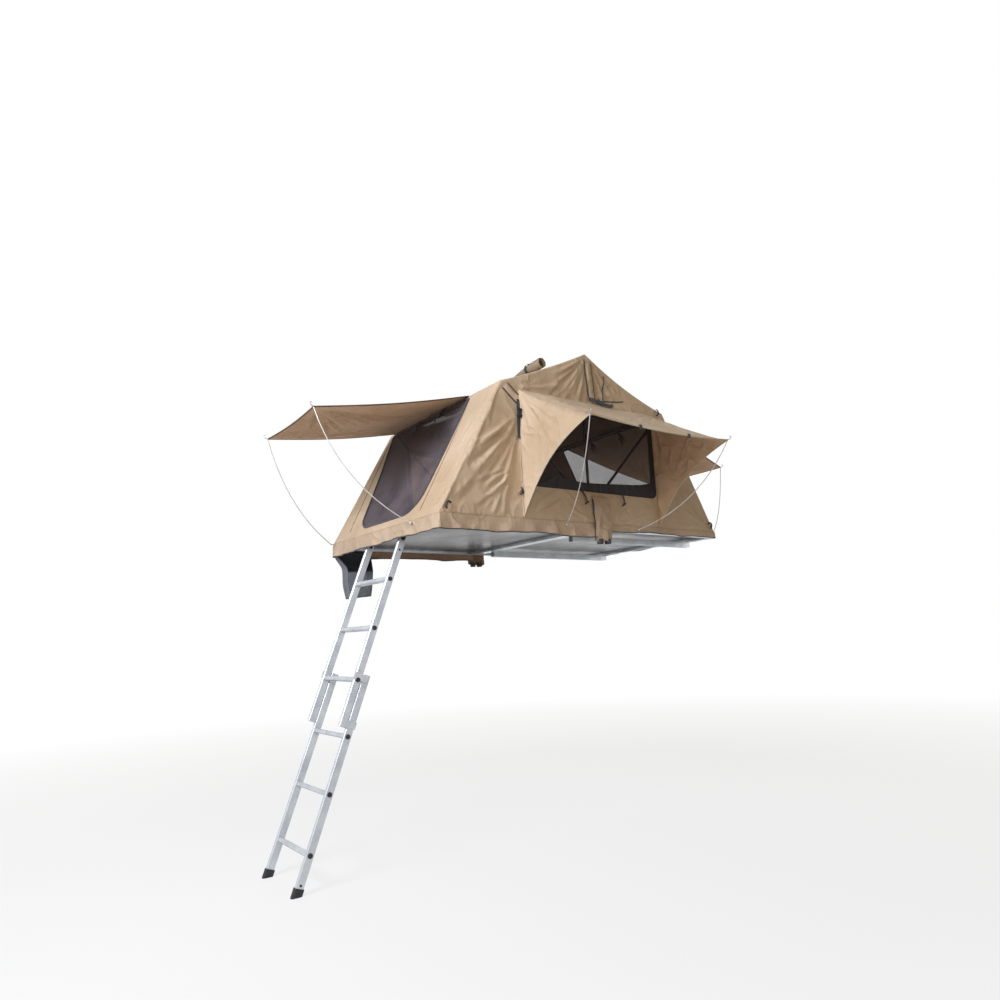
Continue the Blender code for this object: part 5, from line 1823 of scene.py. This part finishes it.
    def build(self) -> None:
        """Dresses both sides and both doors."""
        for side in Side:
            word = side.word
            out, fixed = ("out", "fixed") if side is Side.NEAR else ("fixed", "out")
            self.strip(f"shoulder_strip_{word}", side, SHOULDER_STRIP, f"bow_{out}")
            self.strap(f"shoulder_strap_{word}", side, SHOULDER_STRAP, f"bow_{out}", 2)
            self.strip(f"ridge_strip_{word}", side, RIDGE_STRIP, "bow_centre")
            self.strap(f"ridge_strap_{word}", side, RIDGE_STRAP, "bow_centre", 2)
            gusset = self.line(f"gusset_piping_{word}", side, GUSSET, 0.0042, self.wear.piping)
            SECTORS[1 if side is Side.NEAR else 2].drape(gusset, "canvas")
            for name, top, bottom, body in (
                ("sill_toggle_a", (-0.119, 0.205), (-0.084, 0.127), f"base_{out}"),
                ("sill_toggle_b", (0.239, 0.207), (0.249, 0.137), f"base_{fixed}"),
                ("zip_tab", (-0.604, 0.185), (-0.604, 0.148), f"base_{out}"),
                ("shoulder_tab", (0.654, 0.858), (0.656, 0.815), f"bow_{fixed}"),
            ):
                self.toggle(f"{name}_{word}", side, top, bottom, body)
            self.hook(f"corner_hook_{word}", side, (-CORNER[0], CORNER[1]), f"base_{out}")
            self.hook(f"corner_hook_b_{word}", side, CORNER, f"base_{fixed}")
            seam = self.line(f"hood_seam_{word}", side, HOOD_SEAM, 0.0030, self.wear.binding)
            wear_on(seam, f"awning_{word}")
            gather(seam)
        for half in Half:
            self.ties(half)


@dataclass
class VentRoll:
    """The vent's cover, rolled up below the ridge and held by three straps."""

    gable: Gable
    wear: Wardrobe
    from_ridge: float = 0.300
    radius: float = 0.040
    core: float = 0.020
    half: float = 0.600
    turns: float = 3.3
    gauge: float = 0.0012

    def centre(self) -> tuple[float, float]:
        """Where the roll's axis lies, in u and w."""
        lean = self.gable.roof_slope
        rise = self.radius + 0.0005
        u = -cos(lean) * self.from_ridge - sin(lean) * rise
        w = RIDGE_W - sin(lean) * self.from_ridge + cos(lean) * rise
        return u, w

    def ring(self, reach: Grid, angle: Grid, ys: Grid) -> tuple[Grid, Grid]:
        """Places round the roll in u and w, flatter and lower away from its tight near end."""
        loose = smooth((ys + self.half) / 0.45)
        flat = 1 - 0.45 * loose
        drop = -(self.radius * 0.45 + 0.020 * np.cos(ys / self.half * 1.5)) * loose
        u, w = self.centre()
        return (
            u + reach * np.cos(angle) - sin(self.gable.roof_slope) * drop,
            w + reach * np.sin(angle) * flat + drop,
        )

    def build(self) -> None:
        """Winds the cloth from the core outwards, and straps it."""
        ys = np.linspace(-self.half, self.half, 57)
        rows = []
        for t in np.linspace(0, 1, 121):
            angle = t * self.turns * 2 * pi
            radius = self.core + (self.radius - self.core - 0.004) * t
            wobble = 0.0012 * value_noise(ys * 1.0, np.full(ys.shape, angle * 0.02), 0.09, 46)
            wobble += 0.0010 * np.sin(ys * 2 * pi / 0.12 + angle)
            u, w = self.ring(radius + wobble * t, angle, ys)
            shift = 0.010 * t * np.sin(angle * 0.5) * (np.abs(ys) / self.half) ** 6 * np.sign(ys)
            rows.append(places(u, ys + shift, w))
        points = np.array(rows)
        roll = grid_sheet("vent_cover_roll", points, (0, 0, 1))
        thicken(roll, self.gauge, [self.wear.rolled])
        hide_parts("vent_roll")
        straps = merge("vent_roll_straps", [self.strap(y) for y in (-0.47, 0.0, 0.47)])
        SECTORS[2].drape(roll, "canvas")
        SECTORS[2].drape(straps, "black")

    def strap(self, y: float) -> Piece:
        """A strap most of the way round the roll."""
        angles = np.radians(np.linspace(-75, 235, 25))
        u, w = self.ring(self.radius + 0.001, angles, np.full(25, y))
        middle_u, middle_w = self.centre()
        facing = np.stack([u - middle_u, 0 * u, w - middle_w], axis=1)
        return ribbon("strap", places(u, y, w), facing, 0.018, 0.0014, self.wear.webbing)


@dataclass
class Mattress:
    """A foam mattress in its ticking, crowned, with drawn-in sides and a piped edge."""

    wear: Wardrobe
    half: Half
    length: float = 1.118
    width: float = 1.190
    edge: float = 0.046
    crown: float = 0.012
    corner: float = 0.06
    tuft_pitch: float = 0.28
    tuft_depth: float = 0.0025
    lift: float = 0.0008

    def ring(self, inset: float, shrink: float, rise: float) -> list:
        """The pad's outline at one level, and the dimples of its tufts on top."""
        a, b = self.length / 2 - 0.002, self.width / 2 - 0.002
        low, high = (-a * shrink, -b * shrink), (a * shrink, b * shrink)
        outline = round_corners(rectangle(low, high, inset), [self.corner * shrink] * 4, 8)
        middle = self.half.value * (0.002 + self.length / 2)
        made = []
        for x, y in outline:
            waves = [cos(c * 2 * pi / self.tuft_pitch) for c in (x, y)]
            dimple = -self.tuft_depth * max(0.0, waves[0] * waves[1]) ** 6
            top = self.lift + rise
            made.append(place(middle + x, y, top + (dimple if top > self.edge * 1.03 else 0)))
        return made

    def build(self) -> None:
        """Lofts the pad from rings and rounds it."""
        word = self.half.word
        sides = ((0.012, 0.0), (0.003, 0.10), (0.007, 0.5), (0.003, 0.88), (0.012, 1.02))
        rings = [self.ring(inset, 1.0, self.edge * share) for inset, share in sides]
        for shrink in (0.95, 0.85, 0.7, 0.5, 0.3, 0.12):
            rise = self.edge * 1.02 + self.crown * (1 - shrink ** 2.4)
            rings.append(self.ring(0.0, shrink, rise))
        pad = to_object(f"mattress_pad_{word}", loft(rings))
        smoother = pad.modifiers.new("round", "SUBSURF")
        smoother.levels = smoother.render_levels = 1
        settle(pad, self.wear.ticking, 60)
        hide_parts(f"mattress_{word}")
        rim = self.ring(0.0, 0.991, self.edge * 0.97)
        cord = cord_of(f"mattress_piping_{word}", [[*rim, rim[0]]], 0.003, self.wear.piping)
        for piece in (pad, cord):
            wear_on(piece, f"base_{word}")


@dataclass
class ShoeBag:
    """The bag that hangs below a corner: tall back, sloping gussets and a slack front pocket."""

    wear: Wardrobe
    width: float = 0.250
    depth: float = 0.100
    height: float = 0.345
    pocket: float = 0.190
    end_gap: float = 0.012
    top: float = -0.0453
    taper: float = 0.020
    tilt: float = 0.026
    rows: int = 28
    columns: int = 60
    gusset: float = 0.22

    def __post_init__(self) -> None:
        """Works out the bag's sides and back, and the columns at the pocket's corners."""
        self.left = -PANEL + self.end_gap
        self.back = HALF_WIDTH - 0.003
        corner = int(self.columns * self.gusset)
        self.corners = (corner, self.columns - corner)
        self.lip = int(self.rows * (1 - self.pocket / self.height)) + 1

    def drawn_in(self, s: float) -> float:
        """How far the left edge has come in: it bellies at the top, then draws in."""
        belly = 0.034 * float(smooth(np.array((s - 0.12) / 0.26)))
        return belly + 0.042 * s ** 1.2 - 0.004 * sin(11 * s)

    def tipped(self, u: float, y: float, w: float, s: float, shift: float = 0.0) -> tuple:
        """A place on the bag, which hangs lower at its left edge the further down it is."""
        return tuple(place(u + shift, y, w + self.tilt * s * (u - self.left) / self.width))

    def level(self, s: float) -> list:
        """Points round the bag's open side, from one back edge to the other."""
        w = self.top - self.height * s
        left = self.left + self.drawn_in(s)
        right = self.left + self.width - self.taper * s
        opening = np.clip(s * self.height / (self.height - self.pocket), 0, 1)
        reach = 0.022 + (self.depth - 0.026) * opening ** 0.9
        reach *= 1 - 0.10 * max(0.0, (s - 0.86) / 0.14) ** 2
        slack = 0.008 * sin(pi * s)
        made = []
        for t in np.linspace(0, 1, self.columns + 1):
            share = min(t, 1 - t) / self.gusset
            if share < 1:
                inward = slack * 0.6 * sin(pi * share)
                u = left + inward if t < 0.5 else right - inward
                y = self.back - reach * share
            else:
                share = (t - self.gusset) / (1 - 2 * self.gusset)
                u = left + (right - left) * share
                y = self.back - reach - 0.35 * slack * sin(pi * share)
            y += 0.005 * float(value_noise(np.array([t * 0.4]), np.array([w]), 0.06, 48)[0]) * s
            made.append(self.tipped(u, min(y, self.back), w, s))
        return made

    def back_panel(self) -> list:
        """Rows of points of the flat back."""
        right = self.left + self.width
        rows = []
        for w in np.linspace(self.top, self.top - self.height + 0.01, 25):
            s = (self.top - w) / self.height
            us = np.linspace(self.left, right, 21)
            us = us - self.taper * s * (us - self.left) / self.width
            shifts = self.drawn_in(s) * (right - us) / self.width
            rows.append([self.tipped(u, self.back + 0.0005, w, s, x) for u, x in zip(us, shifts)])
        return rows

    def build(self) -> None:
        """Sews the bag from five sheets round its open mouth, and adds its binding."""
        first, last = self.corners
        lip = self.lip
        rows = np.array([self.level(i / self.rows) for i in range(self.rows + 1)])
        against = rows[-1] * (1, 0, 1) + np.array([0, self.back, 0])
        floor = [
            rows[-1] * (1 - t) + (against + np.array([0, 0, 0.006 * sin(pi * t)])) * t
            for t in np.linspace(0, 1, 7)
        ]
        sheets = (
            ("pocket", rows[lip:], (0, -1, 0)),
            ("gusset", rows[: lip + 1, : first + 1], (-1, 0, 0)),
            ("gusset", rows[: lip + 1, last:], (1, 0, 0)),
            ("back", np.array(self.back_panel()), (0, 1, 0)),
            ("floor", np.array(floor), (0, 0, -1)),
        )
        bag = merge("shoe_bag_cloth", [grid_sheet(f"bag_{what}", *rest) for what, *rest in sheets])
        pick(bag)
        bpy.ops.object.mode_set(mode="EDIT")
        bpy.ops.mesh.select_all(action="SELECT")
        bpy.ops.mesh.remove_doubles(threshold=0.0006)
        bpy.ops.mesh.normals_make_consistent(inside=False)
        bpy.ops.object.mode_set(mode="OBJECT")
        thicken(bag, 0.0014, [self.wear.bag, self.wear.bag_dark], offset=1)
        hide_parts("shoe_bag")
        sides = rows[: lip + 1, first], rows[: lip + 1, last][::-1]
        mouth = [*sides[0], *rows[lip, first + 1 : last], *sides[1]]
        seams = [rows[lip:, first], rows[lip:, last], rows[-1]]
        trims = merge(
            "shoe_bag_binding",
            [
                cord_of("mouth", [mouth], 0.0035, self.wear.piping),
                cord_of("corners", seams, 0.0022, self.wear.piping),
            ],
        )
        for piece in (bag, trims):
            wear_on(piece, "base_out")


@dataclass
class Ladder:
    """Plugs and rivets on the two sections of the ladder."""

    wear: Wardrobe
    lean: float = radians(20.5)
    gauge: float = 0.434
    rail_width: float = 0.022
    rail_depth: float = 0.045
    pivot_u: float = -1.14
    pivot_drop: float = 0.0633
    pivot_set: float = 0.35
    first: float = 0.260
    pitch: float = 0.300
    rungs: int = 3

    def at(self, down: float, front: float, side: Side) -> Vector:
        """The place at a distance down a rail's outer face, in front of its middle."""
        pivot = place(self.pivot_u, 0, -self.pivot_drop - self.rail_depth * self.pivot_set)
        way = Vector((-sin(self.lean), 0, -cos(self.lean)))
        ahead = Vector((-cos(self.lean), 0, sin(self.lean)))
        y = side.value * (self.gauge / 2 + self.rail_width / 2 + 0.0005)
        return pivot + way * down + ahead * front + Vector((0, y, 0))

    def build(self) -> None:
        """Adds a plug at each rung's ends, and a rivet by each section's outer end."""
        for name, start, rivet, front in (
            ("ladder_upper", 0, 0.075, 0.0),
            ("ladder_lower", self.rungs, 1.90, -(self.rail_depth + 0.001)),
        ):
            parts = []
            for k in range(start, start + self.rungs):
                for side in Side:
                    at = self.at(self.first + self.pitch * k, front, side)
                    parts.append(self.plug(at, side.value, 0.013, 0.006))
            for side in Side:
                parts.append(self.plug(self.at(rivet, front, side), side.value, 0.006, 0.003))
            wear_on(merge(f"{name}_plugs", parts), name)

    def plug(self, at: Vector, facing: int, radius: float, depth: float) -> Piece:
        """A moulded plug with a sunk middle, on the outside of a rail."""
        out = Vector((0, facing, 0))
        plug = solid(
            "cylinder", vertices=24, radius=radius, depth=depth, location=at + out * depth / 2,
            rotation=(pi / 2, 0, 0),
        )
        bpy.ops.object.transform_apply(location=False, rotation=True, scale=True)
        sink_end(plug, out, radius * 0.35, depth * 0.4)
        bevel(plug, depth * 0.15)
        return settle(plug, self.wear.plastic)


@dataclass
class Studio:
    """Camera, floor and lamps."""

    eye: tuple = (-3.8267, -4.0669, -0.5908)
    yaw: float = 0.6353
    pitch: float = 0.1831
    roll: float = -0.0448
    focal_pixels: float = 729.35
    photo_pixels: float = 1000
    sensor: float = 36
    floor_z: float = -1.842
    aim: tuple = (-0.6, 0, 0.5)

    def camera(self) -> None:
        """Puts the camera where the photograph was taken from."""
        flat = cos(self.pitch)
        ahead = Vector((sin(self.yaw) * flat, cos(self.yaw) * flat, sin(self.pitch)))
        level = Vector((cos(self.yaw), -sin(self.yaw), 0))
        up = level.cross(ahead)
        right = level * cos(self.roll) + up * sin(self.roll)
        data = bpy.data.cameras.new("camera")
        data.sensor_width = self.sensor
        data.lens = self.focal_pixels * self.sensor / self.photo_pixels
        data.clip_end = 100
        eye = bpy.data.objects.new("camera", data)
        eye.matrix_world = frame_at(self.eye, right, -ahead)
        bpy.context.collection.objects.link(eye)
        bpy.context.scene.camera = eye

    def seen(self, tree: Tree) -> Socket:
        """A socket that is one for rays from the camera, mirrors and glass."""
        path = add(tree, "LightPath")
        found = path.outputs["Is Camera Ray"]
        for ray in ("Is Glossy Ray", "Is Transmission Ray"):
            larger = add(tree, "Math", {"operation": "MAXIMUM"}, at_0=found, at_1=path.outputs[ray])
            found = larger.outputs[0]
        return found

    def surround(self) -> None:
        """A white surround that lights the tent as a warm, dimmer one."""
        world = bpy.data.worlds.new("studio")
        bpy.context.scene.world = world
        world.use_nodes = True
        tree = world.node_tree
        tree.nodes.clear()
        plain = add(tree, "Background", Color=linear("f6ede2"), Strength=0.37).outputs[0]
        white = add(tree, "Background", Color=linear("ffffff"), Strength=1.0).outputs[0]
        mix = add(tree, "MixShader", at_0=self.seen(tree), at_1=plain, at_2=white)
        add(tree, "OutputWorld", at_0=mix.outputs[0])

    def floor(self) -> None:
        """A pale floor that is seen as white further off."""
        made = solid("plane", size=60, location=(0, 0, self.floor_z))
        made.name = "floor"
        mix = Recipe("pale_floor", Base_Color=linear("dcdcdc"), Roughness=0.9)
        tree = mix.tree
        away = add(tree, "VectorMath", {"operation": "LENGTH"}, at_0=mix.where).outputs[1]
        fade = mix.spread(away, 2.5, 9.0, 0.74, 1.0)
        share = add(tree, "Math", {"operation": "MULTIPLY"}, at_0=self.seen(tree), at_1=fade)
        glow = add(tree, "Emission", Color=linear("ffffff"), Strength=1.0).outputs[0]
        both = add(
            tree, "MixShader", at_0=share.outputs[0], at_1=mix.shader.outputs[0], at_2=glow
        )
        tree.links.new(both.outputs[0], tree.nodes["Material Output"].inputs[0])
        made.data.materials.append(mix.material)

    def lamp(self, name: str, at: Point, size: float, watts: float, colour: str) -> None:
        """A square soft lamp that looks at the tent."""
        data = bpy.data.lights.new(name, "AREA")
        data.size = size
        data.energy = watts
        data.color = linear(colour)[:3]
        lamp = bpy.data.objects.new(name, data)
        way = Vector(self.aim) - Vector(at)
        turn = way.to_track_quat("-Z", "Y").to_matrix().to_4x4()
        lamp.matrix_world = Matrix.Translation(Vector(at)) @ turn
        bpy.context.collection.objects.link(lamp)

    def build(self) -> None:
        """Sets up the camera, then the surround, the floor and three lamps."""
        self.camera()
        self.surround()
        self.floor()
        bpy.context.scene.view_settings.view_transform = "Standard"
        # The key stands at the ladder's end, and a wider lamp lights the near side.
        self.lamp("key", (-4.8, -1.35, 1.5), 1.5, 172, "e9efff")
        self.lamp("front", (-4.5, -6.0, 2.4), 3.0, 82, "fffaf3")
        self.lamp("back", (2.0, 5.0, 6.0), 4.0, 120, "ffffff")


def main() -> None:
    """Builds the tent in order."""
    logging.basicConfig(level=logging.INFO, format="%(name)s: %(message)s")
    Studio().build()
    wear = Wardrobe()
    wear.dress_solids()
    gable = Gable()
    Shell(gable, wear).build()
    for side in Side:
        Hood(wear, side).build()
        Sleeve(wear, side).build()
    for half in Half:
        EndAwning(wear, half).build()
        Skirt(wear, half).build()
        Mattress(wear, half).build()
    Trims(gable, wear).build()
    VentRoll(gable, wear).build()
    ShoeBag(wear).build()
    Ladder(wear).build()


if __name__ == "__main__":
    main()
